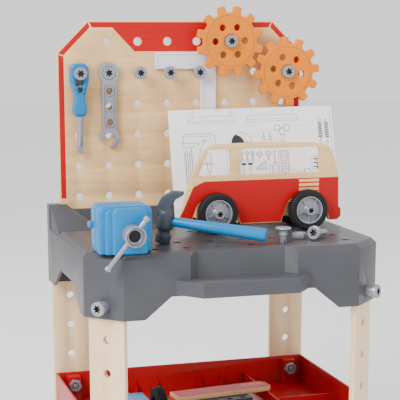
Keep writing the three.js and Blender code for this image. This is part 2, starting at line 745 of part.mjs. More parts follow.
// ---- model bus ----------------------------------------------------------------------------
const PANEL_FRONT = -168;
const AXLE_X = [5.5, 155.5];
const AXLE_Z = WORKTOP_Z + 3 * GAP + WHEEL_R;
const BUS_BOTTOM = WORKTOP_Z + 13;
const NEAR_TYRE = -188;       // front of the near wheels
const FAR_TYRE = -120;        // front of the far wheels
const TYRE_WIDTH = 17;
const RIM_R = 22;
const AXLE_R = 4;

function busPanel() {
  const points = [[-50, BUS_BOTTOM]];
  const archTop = BUS_BOTTOM + 38;
  for (const x of AXLE_X) {
    points.push([x - 41, BUS_BOTTOM], [x - 26, archTop], [x + 26, archTop], [x + 41, BUS_BOTTOM]);
  }
  points.push(
    [211, BUS_BOTTOM],
    [217, BUS_BOTTOM + 6],
    [217, BUS_BOTTOM + 18],
    [213, BUS_BOTTOM + 22],
    [212, BUS_BOTTOM + 70],
    [200, BUS_BOTTOM + 107],
    [193, BUS_BOTTOM + 119],
    [178, BUS_BOTTOM + 124],
    [86, BUS_BOTTOM + 127],
    [6, BUS_BOTTOM + 125],
    [-7, BUS_BOTTOM + 121],
    [-17, BUS_BOTTOM + 112],
    [-37, BUS_BOTTOM + 66],
    [-47, BUS_BOTTOM + 27],
    [-55, BUS_BOTTOM + 12],
    [-55, BUS_BOTTOM + 4],
  );
  const shape = outline(points);
  const sill = BUS_BOTTOM + 77;
  const lintel = BUS_BOTTOM + 118;
  shape.holes.push(outline([
    [-22, sill],
    [28, sill],
    [31, sill + 6],
    [31, lintel - 2],
    [29, lintel],
    [-5, lintel],
  ]));
  shape.holes.push(outline([
    [49, sill],
    [177, sill],
    [179, sill + 2],
    [179, lintel - 3],
    [176, lintel],
    [50, lintel],
    [47, lintel - 3],
    [47, sill + 2],
  ]));
  return front(shape, PANEL_FRONT, PANEL_FRONT + PLANK);
}

function busChassis() {
  const beam = block(-20, PANEL_FRONT + PLANK + GAP, AXLE_Z - 11, 181, FAR_TYRE - 2, AXLE_Z + 11);
  const bores = AXLE_X.map((x) => rodY(AXLE_R + GAP, -200, -80, x, AXLE_Z, 16));
  return cut(beam, ...bores);
}

// an axle with a screw head outside each wheel
function busAxle(x) {
  const nearHead = NEAR_TYRE - 6;
  const farHead = FAR_TYRE + TYRE_WIDTH;
  const near = cut(rodY(8, nearHead, NEAR_TYRE, x, AXLE_Z), starRecess().translate(x, nearHead, AXLE_Z));
  const far = rodY(8, farHead, farHead + 2.5, x, AXLE_Z);
  return join(near, far, rodY(AXLE_R, NEAR_TYRE - 1, farHead + 1, x, AXLE_Z, 16));
}

function tyre(x, yFront) {
  const inner = RIM_R + GAP;
  const w = TYRE_WIDTH;
  const ring = turned([
    [inner, 0],
    [WHEEL_R - 3, 0],
    [WHEEL_R, 3],
    [WHEEL_R, w - 3],
    [WHEEL_R - 3, w],
    [inner, w],
    [inner, 0],
  ], 20);
  return ring.translate(x, yFront, AXLE_Z);
}

function wheelHub(x, yFront) {
  const rim = cut(rodY(RIM_R, 0.5, TYRE_WIDTH - 0.5, 0, 0, 20), rodY(RIM_R - 3, -1, 7, 0, 0, 20));
  const boss = rodY(9.5, GAP, 8, 0, 0, 16);
  const bore = rodY(AXLE_R + 0.4, -1, TYRE_WIDTH + 1, 0, 0, 16);
  return cut(join(rim, boss), bore).translate(x, yFront, AXLE_Z);
}

add('bus_panel', busPanel(), RED_PAINT);
add('bus_chassis', busChassis(), WOOD);
for (const [end, x] of [['front', AXLE_X[0]], ['rear', AXLE_X[1]]]) {
  add(`bus_axle_${end}`, busAxle(x), SILVER);
  for (const [sideName, y] of [['near', NEAR_TYRE], ['far', FAR_TYRE]]) {
    add(`bus_tyre_${end}_${sideName}`, tyre(x, y), BLACK);
    add(`bus_hub_${end}_${sideName}`, wheelHub(x, y), SILVER);
  }
}

// ---- loose building parts in the tray -----------------------------------------------------
const TRAY_FLOOR_Z = TRAY_TOP - TRAY_DEPTH + TRAY_WALL + GAP;
const REST_Z = DIVIDER_TOP + GAP;           // parts that lie across a divider
const PLANK_TURN = THREE.MathUtils.degToRad(7);
const SPARE_R = 30;
const SPARE_WIDTH = 17;

// a red plank lies on the right divider and on a beam that stands on the tray's floor
const plankShape = outline([[-85, -20], [77, -20], [85, -12], [85, 12], [77, 20], [-85, 20]]);
for (let i = 0; i < 3; i += 1) {
  plankShape.holes.push(circleHole(44 + i * 14, 6, 4, HOLE_SIDES));
}
add('tray_plank', plan(plankShape, 0, 7).rotateZ(PLANK_TURN).translate(35, -109, REST_Z), RED_PAINT);
const beam = block(-62, -17, TRAY_FLOOR_Z, 62, 17, DIVIDER_TOP);
add('tray_beam', beam.rotateZ(PLANK_TURN).translate(14, -136, 0), SLATE);

// a spare tyre stands on its tread
const spare = turned([
  [14, 0],
  [SPARE_R - 2, 0],
  [SPARE_R, 2],
  [SPARE_R, SPARE_WIDTH - 2],
  [SPARE_R - 2, SPARE_WIDTH],
  [14, SPARE_WIDTH],
  [14, 0],
], 24);
add('tray_tyre', spare.rotateZ(-Math.PI / 2).translate(-99.5, -179, TRAY_FLOOR_Z + SPARE_R), BLACK);

// an angle bracket hooks over the left divider
const flange = block(-137, -135, REST_Z - 14, -131, -85, REST_Z + 6);
add('tray_bracket', join(flange, block(-137, -135, REST_Z, -94, -85, REST_Z + 6)), BLUE);

const group = new THREE.Group();
group.add(bench);
const middle = new THREE.Box3().setFromObject(bench, true).getCenter(new THREE.Vector3());
bench.position.set(-middle.x, -middle.y, 0);

export default group;
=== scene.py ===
# Toy tool bench: the finished look of each piece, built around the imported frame.
from math import atan2, ceil, cos, pi, radians, sin, tan

import bmesh
import bpy
from mathutils import Matrix, Vector


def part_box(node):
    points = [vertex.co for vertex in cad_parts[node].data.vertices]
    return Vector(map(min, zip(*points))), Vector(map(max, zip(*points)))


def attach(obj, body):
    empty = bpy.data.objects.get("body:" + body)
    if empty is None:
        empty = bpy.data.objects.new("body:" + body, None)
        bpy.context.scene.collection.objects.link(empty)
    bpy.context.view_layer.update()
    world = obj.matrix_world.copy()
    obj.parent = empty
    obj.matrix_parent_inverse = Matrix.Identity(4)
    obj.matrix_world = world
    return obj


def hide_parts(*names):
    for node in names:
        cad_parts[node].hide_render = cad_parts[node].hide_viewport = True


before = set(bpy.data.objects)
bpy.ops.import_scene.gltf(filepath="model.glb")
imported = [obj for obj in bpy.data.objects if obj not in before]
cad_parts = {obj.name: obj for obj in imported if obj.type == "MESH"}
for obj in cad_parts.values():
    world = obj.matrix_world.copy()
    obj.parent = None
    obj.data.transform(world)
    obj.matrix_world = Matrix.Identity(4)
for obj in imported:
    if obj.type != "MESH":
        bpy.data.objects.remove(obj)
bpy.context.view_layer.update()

MM = 0.001

# ---- camera, floor and lights ----
# The bench stands on a pale studio floor. A long lens looks a little down at its
# left front corner, and broad soft lights hang above, to the left and in front.
camera_data = bpy.data.cameras.new("camera")
camera_data.lens = 114.48
camera_data.sensor_width = 36
camera_data.shift_y = 0.213
camera_data.clip_end = 30
camera = bpy.data.objects.new("camera", camera_data)
camera.location = (-0.5895, -1.8769, 0.7749)
camera.rotation_euler = (radians(90 - 11.26), radians(0.09), radians(-16.65))
bpy.context.scene.collection.objects.link(camera)
bpy.context.scene.camera = camera

floor_bm = bmesh.new()
bmesh.ops.create_grid(floor_bm, x_segments=8, y_segments=8, size=12)
floor_mesh = bpy.data.meshes.new("floor")
floor_bm.to_mesh(floor_mesh)
floor_bm.free()
floor = bpy.data.objects.new("floor", floor_mesh)
bpy.context.scene.collection.objects.link(floor)
floor_paint = bpy.data.materials.new("floor_paint")
floor_paint.use_nodes = True
floor_shader = floor_paint.node_tree.nodes["Principled BSDF"]
floor_shader.inputs["Base Color"].default_value = (0.93, 0.93, 0.93, 1)
floor_shader.inputs["Roughness"].default_value = 0.9
floor_mesh.materials.append(floor_paint)

world = bpy.data.worlds.new("studio")
world.use_nodes = True
world.node_tree.nodes["Background"].inputs["Color"].default_value = (1, 1, 1, 1)
world.node_tree.nodes["Background"].inputs["Strength"].default_value = 1.25
bpy.context.scene.world = world


def soft_light(name, place, aim, size, watts):
    data = bpy.data.lights.new(name, "AREA")
    data.size = size
    data.energy = watts
    light = bpy.data.objects.new(name, data)
    light.location = place
    light.rotation_euler = (Vector(aim) - Vector(place)).to_track_quat("-Z", "Y").to_euler()
    bpy.context.scene.collection.objects.link(light)


soft_light("key_light", (-2.0, -1.3, 2.1), (0, 0, 0.5), 1.3, 105)
soft_light("fill_light", (1.8, -1.6, 1.3), (0, 0, 0.5), 1.6, 10)
soft_light("back_light", (0.3, 1.8, 1.9), (0, 0.1, 0.5), 1.4, 12)

# ---- peg board ----
# A sheet of 9 mm plywood with 12 mm holes every 50 mm. Its corners are sawn off, its edges
# are sanded round, and a red border and header are screen printed on its front.
BOARD_RIM = 1.0 * MM
board_low, board_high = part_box("back_panel")
MID_X = (board_low.x + board_high.x) / 2
BOARD_Y = board_low.y
PITCH = 50 * MM
TOP_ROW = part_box("gear_1_screw")[0].z + 10.5 * MM
TOOL_ROW = TOP_ROW - PITCH
HOLE_R = 6 * MM
SIDES = (("left", -1), ("right", 1))


# The middle of a node's front face.
def front_middle(node):
    low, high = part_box(node)
    return Vector(((low.x + high.x) / 2, low.y, (low.z + high.z) / 2))


def circle_points(x, z, radius, count=32, start=0.0):
    angles = [start + 2 * pi * i / count for i in range(count)]
    return [(x + radius * cos(angle), z + radius * sin(angle)) for angle in angles]


# An outline whose corners are turned into arcs. Each is (x, z, radius), in mm from an origin.
def rounded(corners, steps=6, origin=(0, 0), unit=MM):
    spots = [Vector((origin[0] + x * unit, origin[1] + z * unit)) for x, z, radius in corners]
    points = []
    for i, here in enumerate(spots):
        radius = corners[i][2] * unit
        if radius <= 0:
            points.append(tuple(here))
            continue
        before = (spots[i - 1] - here).normalized()
        after = (spots[(i + 1) % len(spots)] - here).normalized()
        half = before.angle(after) / 2
        middle = here + (before + after).normalized() * (radius / sin(half))
        first = here + before * (radius / tan(half)) - middle
        last = here + after * (radius / tan(half)) - middle
        swing = first.angle_signed(last)
        for k in range(steps + 1):
            spoke = first.copy()
            spoke.rotate(Matrix.Rotation(-swing * k / steps, 2))
            points.append(tuple(middle + spoke))
    return points


# A flat board seen from the front: an outline and holes of (x, z) points, from y_front to
# y_back, with its front and back rims rounded by two small insets.
def plate(outline, holes, y_front, y_back, rim=0.0):
    bm = bmesh.new()
    edges = []
    for loop in [outline] + list(holes):
        corners = [bm.verts.new((x, y_front + rim, z)) for x, z in loop]
        edges += [bm.edges.new((corners[i - 1], corners[i])) for i in range(len(corners))]
    bmesh.ops.triangle_fill(bm, edges=edges, use_beauty=True, use_dissolve=False, normal=(0, -1, 0))
    front = list(bm.faces)
    grown = bmesh.ops.extrude_face_region(bm, geom=front, use_keep_orig=True)["geom"]
    back_corners = [item for item in grown if isinstance(item, bmesh.types.BMVert)]
    back = [item for item in grown if isinstance(item, bmesh.types.BMFace)]
    bmesh.ops.translate(bm, verts=back_corners, vec=(0, y_back - y_front - 2 * rim, 0))
    bmesh.ops.recalc_face_normals(bm, faces=bm.faces)
    if rim > 0:
        for cap in (front, back):
            for inward, outward in ((0.3, 0.7), (0.7, 0.3)):
                bmesh.ops.inset_region(bm, faces=cap, thickness=rim * inward, depth=rim * outward,
                                       use_boundary=True, use_even_offset=True)
    return bm


def finish_piece(name, bm, materials, body, nodes=(), crease=34):
    bmesh.ops.remove_doubles(bm, verts=bm.verts, dist=1e-6)
    bmesh.ops.recalc_face_normals(bm, faces=bm.faces)
    mesh = bpy.data.meshes.new(name)
    bm.to_mesh(mesh)
    bm.free()
    for material in materials if isinstance(materials, list) else [materials]:
        mesh.materials.append(material)
    mesh.shade_smooth()
    mesh.set_sharp_from_angle(angle=radians(crease))
    piece = bpy.data.objects.new(name, mesh)
    bpy.context.scene.collection.objects.link(piece)
    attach(piece, body)
    if nodes:
        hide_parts(*nodes)


def new_material(name):
    material = bpy.data.materials.new(name)
    material.use_nodes = True
    return material, material.node_tree, material.node_tree.nodes["Principled BSDF"]


def add_node(tree, kind, links, **settings):
    node = tree.nodes.new(kind)
    for key, value in settings.items():
        node.inputs[key.replace("_", " ")].default_value = value
    for socket, source in links.items():
        tree.links.new(source, node.inputs[socket])
    return node


# The place on the piece, stretched along the grain where there is one.
def surface_place(tree, stretch=(1, 1, 1)):
    place = tree.nodes.new("ShaderNodeTexCoord").outputs["Object"]
    return add_node(tree, "ShaderNodeMapping", {"Vector": place}, Scale=stretch).outputs["Vector"]


def add_noise(tree, place, scale, detail, roughness, distortion=0.0):
    noise = add_node(tree, "ShaderNodeTexNoise", {"Vector": place}, Scale=scale, Detail=detail,
                     Roughness=roughness, Distortion=distortion)
    return noise.outputs["Fac"]


def color_ramp(tree, source, stops):
    ramp = add_node(tree, "ShaderNodeValToRGB", {"Fac": source})
    while len(ramp.color_ramp.elements) < len(stops):
        ramp.color_ramp.elements.new(0.5)
    for element, (position, color) in zip(ramp.color_ramp.elements, stops):
        element.position = position
        element.color = (*color, 1)
    return ramp.outputs["Color"]


# Joins up a surface: its colour, a gloss that follows one noise and a relief from another.
def dress(tree, shader, tone, gloss, gloss_range, relief, strength, distance, span=(0, 1)):
    spread = add_node(tree, "ShaderNodeMapRange", {"Value": gloss}, From_Min=span[0], From_Max=span[1],
                      To_Min=gloss_range[0], To_Max=gloss_range[1])
    bump = add_node(tree, "ShaderNodeBump", {"Height": relief}, Strength=strength, Distance=distance)
    tree.links.new(tone, shader.inputs["Base Color"])
    tree.links.new(spread.outputs["Result"], shader.inputs["Roughness"])
    tree.links.new(bump.outputs["Normal"], shader.inputs["Normal"])


# Sanded, clear-coated wood: long soft figure along the grain, fine pores and a faint sheen.
def wood_material(name, grain, pale, dark, figure=1.0):
    material, tree, shader = new_material(name)
    place = surface_place(tree, {"x": (2.2, 26, 26), "z": (26, 26, 2.2)}[grain])
    sway = add_noise(tree, place, 0.55, 3.0, 0.5, 0.6)
    bands = add_noise(tree, place, 1.9, 9.0, 0.62, 1.4 * figure)
    pores = add_noise(tree, place, 21.0, 4.0, 0.7)
    both = tree.nodes.new("ShaderNodeMix")
    both.inputs["Factor"].default_value = 0.5
    tree.links.new(bands, both.inputs["A"])
    tree.links.new(sway, both.inputs["B"])
    middle = tuple((p + d) / 2 for p, d in zip(pale, dark))
    tone = color_ramp(tree, both.outputs["Result"], [(0.36, dark), (0.47, middle), (0.56, pale)])
    specks = color_ramp(tree, pores, [(0.33, (0.80, 0.74, 0.66)), (0.46, (1, 1, 1))])
    mixed = tree.nodes.new("ShaderNodeMix")
    mixed.data_type = "RGBA"
    mixed.blend_type = "MULTIPLY"
    mixed.inputs["Factor"].default_value = 0.55
    tree.links.new(tone, mixed.inputs["A"])
    tree.links.new(specks, mixed.inputs["B"])
    dress(tree, shader, mixed.outputs["Result"], pores, (0.62, 0.44), pores, 0.12, 0.0004)
    return material


# Paint or print on wood: an even colour that lets a little of the grain's relief through.
def paint_material(name, color, roughness=0.42):
    material, tree, shader = new_material(name)
    grain = add_noise(tree, surface_place(tree, (3, 60, 60)), 6.0, 5.0, 0.6)
    tone = color_ramp(tree, grain, [(0.3, tuple(c * 0.9 for c in color)), (0.55, color)])
    shader.inputs["Specular IOR Level"].default_value = 0.25
    dress(tree, shader, tone, grain, (roughness - 0.08, roughness + 0.1), grain, 0.1, 0.0003)
    return material


board_wood = wood_material("board_birch_ply", "x", (0.84, 0.55, 0.26), (0.70, 0.40, 0.17))
red_print = paint_material("red_print", (0.46, 0.0, 0.002))

board_holes = [(MID_X + (column - 3.5) * PITCH, TOP_ROW - row * PITCH)
               for row in range(6) for column in range(8) if row > 0 or 0 < column < 7]
hole_loops = [circle_points(x, z, HOLE_R) for x, z in board_holes]
for side, sign in SIDES:
    bolt = front_middle("back_nut_" + side)
    hole_loops.append(circle_points(bolt.x, bolt.z, 5.6 * MM))

half_board = (board_high.x - board_low.x) / 2
board_cut = 51 * MM
board_corners = [(-half_board, board_low.z), (half_board, board_low.z),
                 (half_board, board_high.z - board_cut), (half_board - board_cut, board_high.z),
                 (board_cut - half_board, board_high.z), (-half_board, board_high.z - board_cut)]
board_loop = rounded([(MID_X + x, z, 2 * MM) for x, z in board_corners], unit=1)
finish_piece("peg_board", plate(board_loop, hole_loops, board_low.y, board_high.y, BOARD_RIM),
             board_wood, "bench", ["back_panel"])

PRINT_THICK = 0.12 * MM
PRINT_INSET = 2.2 * MM
STRIPE = 8.5 * MM
MITRE = 1.2 * MM


# A printed patch; its corners are given from the board's middle line.
def print_on_board(name, corners, holes=()):
    loops = [circle_points(x, z, HOLE_R + BOARD_RIM) for x, z in holes]
    bm = plate([(MID_X + x, z) for x, z in corners], loops, BOARD_Y - PRINT_THICK, BOARD_Y + 0.02 * MM)
    finish_piece(name, bm, red_print, "bench")


# The border runs parallel to the edge, and its pieces stop short of each other at the
# mitres. This gives its side, top and the two ends of its slanted stretch.
def offset_line(distance):
    bend = distance * tan(radians(22.5))
    return (half_board - distance, board_high.z - distance,
            board_high.z - board_cut - bend, half_board - board_cut - bend)


outer_x, outer_z, outer_knee_z, outer_knee_x = offset_line(PRINT_INSET)
inner_x, inner_z, inner_knee_z, inner_knee_x = offset_line(PRINT_INSET + STRIPE)
header_low = TOP_ROW - 16 * MM
header_half = 80 * MM
top_half = 117 * MM
stripe_end = TOP_ROW - 252 * MM
for side, sign in SIDES:
    print_on_board("side_stripe_" + side, [
        (sign * outer_x, stripe_end), (sign * outer_x, outer_knee_z - MITRE),
        (sign * inner_x, inner_knee_z - MITRE), (sign * inner_x, stripe_end)])
    print_on_board("corner_stripe_" + side, [
        (sign * outer_x, outer_knee_z + MITRE * 0.4), (sign * (outer_knee_x + MITRE * 0.4), outer_z),
        (sign * (inner_knee_x + MITRE), inner_z + MITRE * 0.2),
        (sign * (inner_x + MITRE * 0.2), inner_knee_z + MITRE)])
header_holes = [(x, z) for x, z in board_holes if abs(z - TOP_ROW) < MM and abs(x - MID_X) < header_half]
print_on_board("header_print", [
    (MITRE - outer_knee_x, outer_z), (MITRE * 2 - inner_knee_x, inner_z), (-top_half, inner_z),
    (-header_half, header_low), (header_half, header_low), (top_half, inner_z),
    (inner_knee_x - MITRE * 2, inner_z), (outer_knee_x - MITRE, outer_z)], header_holes)

# ---- legs ----
# Four planks of solid wood, drilled down the middle so that the height can be changed. The
# front pair is screwed inside the worktop's cut corners and the back pair behind the board.
LEG_HALF = 30
LEG_THICK = 9 * MM
LEG_RIM = 1.2 * MM
LEG_HOLE_R = 5.8 * MM
leg_wood = wood_material("leg_beech", "z", (0.90, 0.67, 0.40), (0.80, 0.54, 0.29), figure=0.7)


def shift(bm, way):
    bmesh.ops.translate(bm, verts=bm.verts, vec=way)


def turn(bm, angle, axis):
    bmesh.ops.rotate(bm, verts=bm.verts, matrix=Matrix.Rotation(angle, 3, axis))


def leg_plank(top, bolt_z):
    top_mm = top / MM
    corners = [(-LEG_HALF, 0, 1.5), (LEG_HALF, 0, 1.5), (LEG_HALF, top_mm, 3), (-LEG_HALF, top_mm, 3)]
    holes = []
    z = bolt_z
    while z > 60 * MM:
        holes.append(circle_points(0, z, LEG_HOLE_R, 28))
        z -= PITCH
    return plate(rounded(corners, 4), holes, 0, LEG_THICK, LEG_RIM)


for side, sign in SIDES:
    low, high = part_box("front_leg_" + side)
    leg_bm = leg_plank(high.z, front_middle("corner_nut_" + side).z)
    shift(leg_bm, (0, -LEG_THICK / 2, 0))
    turn(leg_bm, sign * pi / 4, "Z")
    shift(leg_bm, ((low.x + high.x) / 2, (low.y + high.y) / 2, 0))
    finish_piece("front_leg_plank_" + side, leg_bm, leg_wood, "bench", ["front_leg_" + side])

    low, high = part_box("back_leg_" + side)
    leg_bm = leg_plank(high.z, front_middle("back_nut_" + side).z)
    shift(leg_bm, ((low.x + high.x) / 2, low.y, 0))
    finish_piece("back_leg_plank_" + side, leg_bm, leg_wood, "bench", ["back_leg_" + side])

# ---- worktop ----
# One injection-moulded grey shell: a flat top with peg holes, a skirt with a cut-away front
# and sides, a ledge for a handle, and a raised rail and corners where the board stands.
TOP_HOLE_R = 6.4 * MM


# Moulded plastic: an even body colour with a faint cloud in it, fine spark-eroded texture
# and a little more polish where the surface is handled.
def moulded_plastic(name, color, roughness, texture=0.05, cloud=0.06):
    material, tree, shader = new_material(name)
    place = surface_place(tree)
    broad = add_noise(tree, place, 14.0, 3.0, 0.5)
    fine = add_noise(tree, place, 1500.0, 2.0, 0.6)
    low_tone = tuple(c * (1 - cloud) for c in color)
    high_tone = tuple(min(1, c * (1 + cloud)) for c in color)
    tone = color_ramp(tree, broad, [(0.35, low_tone), (0.65, high_tone)])
    shader.inputs["Specular IOR Level"].default_value = 0.3
    dress(tree, shader, tone, broad, (roughness - 0.04, roughness + 0.05), fine, texture, 0.0002, (0.3, 0.7))
    return material


# A working copy of a CAD solid: its loose triangles joined into whole flat faces, so that
# its edges can be rounded.
def copy_of(node):
    bm = bmesh.new()
    bm.from_mesh(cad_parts[node].data)
    bmesh.ops.remove_doubles(bm, verts=bm.verts, dist=1e-5)
    bmesh.ops.dissolve_limit(bm, angle_limit=radians(0.6), use_dissolve_boundaries=False,
                             verts=bm.verts, edges=bm.edges)
    return bm


def round_edges(bm, width, sharper_than=20, segments=2):
    sharp = [edge for edge in bm.edges
             if len(edge.link_faces) == 2 and edge.calc_face_angle(0) > radians(sharper_than)]
    bmesh.ops.bevel(bm, geom=sharp, offset=width, offset_type="OFFSET", affect="EDGES", segments=segments,
                    profile=0.5, material=-1, clamp_overlap=True)


# Cuts one closed shape out of another, or joins them.
def combine(bm, tool_bm, operation="DIFFERENCE"):
    holders = []
    for part in (bm, tool_bm):
        bmesh.ops.recalc_face_normals(part, faces=part.faces)
        mesh = bpy.data.meshes.new("working")
        part.to_mesh(mesh)
        part.free()
        holder = bpy.data.objects.new("working", mesh)
        bpy.context.scene.collection.objects.link(holder)
        holders.append(holder)
    modifier = holders[0].modifiers.new("combine", "BOOLEAN")
    modifier.operation = operation
    modifier.solver = "EXACT"
    modifier.object = holders[1]
    bpy.context.view_layer.update()
    result = bmesh.new()
    result.from_object(holders[0], bpy.context.evaluated_depsgraph_get())
    for holder in holders:
        mesh = holder.data
        bpy.data.objects.remove(holder)
        bpy.data.meshes.remove(mesh)
    return result


# A round bar between two points.
def bar(start, end, radius, segments=32, into=None):
    bm = into if into is not None else bmesh.new()
    start, end = Vector(start), Vector(end)
    way = (end - start).to_track_quat("Z", "Y").to_matrix().to_4x4()
    bmesh.ops.create_cone(bm, cap_ends=True, segments=segments, radius1=radius, radius2=radius,
                          depth=(end - start).length, matrix=Matrix.Translation((start + end) / 2) @ way)
    return bm


peg_low, peg_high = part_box("rivet_peg")
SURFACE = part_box("loose_nut")[0].z - 0.3 * MM
top_plastic = moulded_plastic("worktop_grey", (0.064, 0.065, 0.074), 0.36, texture=0.10)
top_bm = copy_of("worktop")
round_edges(top_bm, 1.3 * MM, sharper_than=24)
drill_bm = bmesh.new()
first_row = (peg_low.y + peg_high.y) / 2
for row in range(5):
    for column in range(8):
        if row == 4 and column in (0, 7):
            continue
        x = MID_X + (column - 3.5) * PITCH
        y = first_row + row * PITCH
        bar((x, y, SURFACE - 12 * MM), (x, y, SURFACE + 2 * MM), TOP_HOLE_R, 24, into=drill_bm)
finish_piece("worktop_shell", combine(top_bm, drill_bm), top_plastic, "bench", ["worktop"],
             crease=30)

# ---- tray ----
# A red moulded tray, held between the four legs by bolts through its corner bosses. Two
# low walls divide it, and small three-cornered ribs stiffen its back wall.
tray_low, tray_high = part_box("parts_tray")
TRAY_WALL = 3 * MM
RIB_REACH = 16 * MM
RIB_HEIGHT = 24 * MM
tray_red = moulded_plastic("tray_red", (0.42, 0.001, 0.004), 0.30, texture=0.06)
tray_bm = copy_of("parts_tray")
round_edges(tray_bm, 0.9 * MM, sharper_than=30)
finish_piece("tray_shell", tray_bm, tray_red, "bench", ["parts_tray"], crease=30)

rib_bm = bmesh.new()
tray_floor = tray_low.z + TRAY_WALL
rib_y = tray_high.y - TRAY_WALL
rib_corners = [(rib_y + 0.5 * MM, tray_floor), (rib_y - RIB_REACH, tray_floor),
               (rib_y + 0.5 * MM, tray_floor + RIB_HEIGHT)]
for step in (-3, -2, -1, 1, 2, 3):
    rib_x = MID_X + step * 38 * MM - 8 * MM
    face = rib_bm.faces.new([rib_bm.verts.new((rib_x, y, z)) for y, z in rib_corners])
    grown = bmesh.ops.extrude_face_region(rib_bm, geom=[face], use_keep_orig=True)["geom"]
    moved = [item for item in grown if isinstance(item, bmesh.types.BMVert)]
    bmesh.ops.translate(rib_bm, verts=moved, vec=(1.6 * MM, 0, 0))
finish_piece("tray_ribs", rib_bm, tray_red, "bench")

# ---- screws and nuts ----
# Chunky moulded screws for small hands: a round head with a deep six-pointed socket and a
# coarse thread, and hexagon nuts. All are the same silver-grey plastic with a pearly fleck;
# the inside of each socket is given a dark colour, painted shade for the deep recess.
HEAD_R = 10.5                 # all in mm
HEAD_THICK = 8
SHANK_R = 5
THREAD_PITCH = 3.2
THREAD_DEPTH = 0.55
SOCKET_DEPTH = 5.2
NUT_THICK = 9
NUT_FLAT_R = 9.5


def pearl_plastic(name, color, roughness):
    material = moulded_plastic(name, color, roughness, texture=0.04, cloud=0.08)
    shader = material.node_tree.nodes["Principled BSDF"]
    shader.inputs["Metallic"].default_value = 0.45
    shader.inputs["Specular IOR Level"].default_value = 0.6
    return material


silver = pearl_plastic("silver_grey", (0.30, 0.305, 0.345), 0.28)
# a dark copy of the silver for the inside of every socket: painted shade of the recess
socket_painted_shade = pearl_plastic("socket_painted_shade", (0.022, 0.021, 0.022), 0.45)


# A shape turned about the Y axis from (radius, y) points in mm.
def turned(profile, segments=40, into=None):
    bm = into if into is not None else bmesh.new()
    points = [bm.verts.new((radius * MM, y * MM, 0)) for radius, y in profile]
    edges = [bm.edges.new(pair) for pair in zip(points, points[1:])]
    bmesh.ops.spin(bm, geom=points + edges, cent=(0, 0, 0), axis=(0, 1, 0), angle=2 * pi, steps=segments,
                   use_merge=True, use_duplicate=False)
    bmesh.ops.remove_doubles(bm, verts=bm.verts, dist=1e-6)
    bmesh.ops.recalc_face_normals(bm, faces=bm.faces)
    return bm


# six rounded lobes: the outline of the driver socket
def socket_outline(radius, count=48):
    points = []
    for i in range(count):
        angle = 2 * pi * i / count
        reach = radius * MM * (0.80 + 0.20 * cos(6 * angle))
        points.append((reach * cos(angle), reach * sin(angle)))
    return points


def screw_head(radius=HEAD_R, thick=HEAD_THICK, socket=6.2):
    bm = turned([(0, 0.7), (radius * 0.72, 0.7), (radius * 0.76, 0.1), (radius * 0.80, 0),
                 (radius - 1.3, 0), (radius - 0.5, 0.35), (radius, 1.2), (radius, thick - 0.6),
                 (radius - 0.6, thick), (0, thick)], 48)
    bm = combine(bm, plate(socket_outline(socket), [], -1 * MM, SOCKET_DEPTH * MM))
    # the socket's walls and floor take the second, dark material: painted shade for the recess
    for face in bm.faces:
        middle = face.calc_center_median() / MM
        inside = Vector((middle.x, middle.z)).length < socket * 1.01
        face.material_index = 1 if inside and 0.75 < middle.y < SOCKET_DEPTH + 0.1 else 0
    return bm


# the helical ridge of the thread is spun from a small three-cornered profile
def thread_ridge(y_start, y_end, bm):
    turns = (y_end - y_start) / THREAD_PITCH
    steps = ceil(turns * 20)
    deep = SHANK_R - THREAD_DEPTH - 0.25
    half = THREAD_PITCH * 0.36
    corners = [(deep, y_start - half), (SHANK_R, y_start), (deep, y_start + half)]
    face = bm.faces.new([bm.verts.new((radius * MM, y * MM, 0)) for radius, y in corners])
    bmesh.ops.spin(bm, geom=[face], cent=(0, 0, 0), axis=(0, 1, 0), angle=-2 * pi * turns, steps=steps,
                   dvec=(0, (y_end - y_start) * MM / steps, 0), use_merge=False, use_duplicate=False)


head_template = bpy.data.meshes.new("screw_head_template")
head_bm = screw_head()
head_bm.to_mesh(head_template)
head_bm.free()


def full_screw(length):
    bm = bmesh.new()
    bm.from_mesh(head_template)
    core = SHANK_R - THREAD_DEPTH
    turned([(0, HEAD_THICK - 0.5), (core, HEAD_THICK - 0.5), (core, length - 1.5), (core - 1, length),
            (0, length)], 28, into=bm)
    thread_ridge(HEAD_THICK + 3, length - 2.6, bm)
    return bm


def hexagon_nut():
    across = NUT_FLAT_R / cos(pi / 6)
    corners = [(x, z, 1.2) for x, z in circle_points(0, 0, across, 6, pi / 6)]
    bore = circle_points(0, 0, (SHANK_R + 0.3) * MM, 28)
    return plate(rounded(corners, 3), [bore], 0, NUT_THICK * MM, 1.0 * MM)


def finish_screw(name, bm, node, body="bench"):
    finish_piece(name, bm, [silver, socket_painted_shade], body, [node])


def place_nut(name, place, angle, nodes=()):
    bm = hexagon_nut()
    turn(bm, angle, "Y")
    shift(bm, place)
    finish_piece(name, bm, silver, "bench", nodes)


# front-facing screws on the board and in the gears, and the rail's bolts
board_screws = ["screwdriver_screw", "wrench_screw", "board_screw_left", "board_screw_middle",
                "board_screw_right", "gear_1_screw", "gear_2_screw"]
for number, node in enumerate(board_screws + ["back_bolt_left", "back_bolt_right"]):
    low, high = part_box(node)
    screw_bm = full_screw((high.y - low.y) / MM)
    turn(screw_bm, 0.4 * number, "Y")
    shift(screw_bm, front_middle(node))
    finish_screw("moulded_" + node, screw_bm, node)

# nuts behind the board, on each screw that comes through it
for number, node in enumerate(board_screws):
    place = front_middle(node)
    place.y = board_high.y + 0.2 * MM
    place_nut("board_nut_" + str(number + 1), place, 0.5 * number)

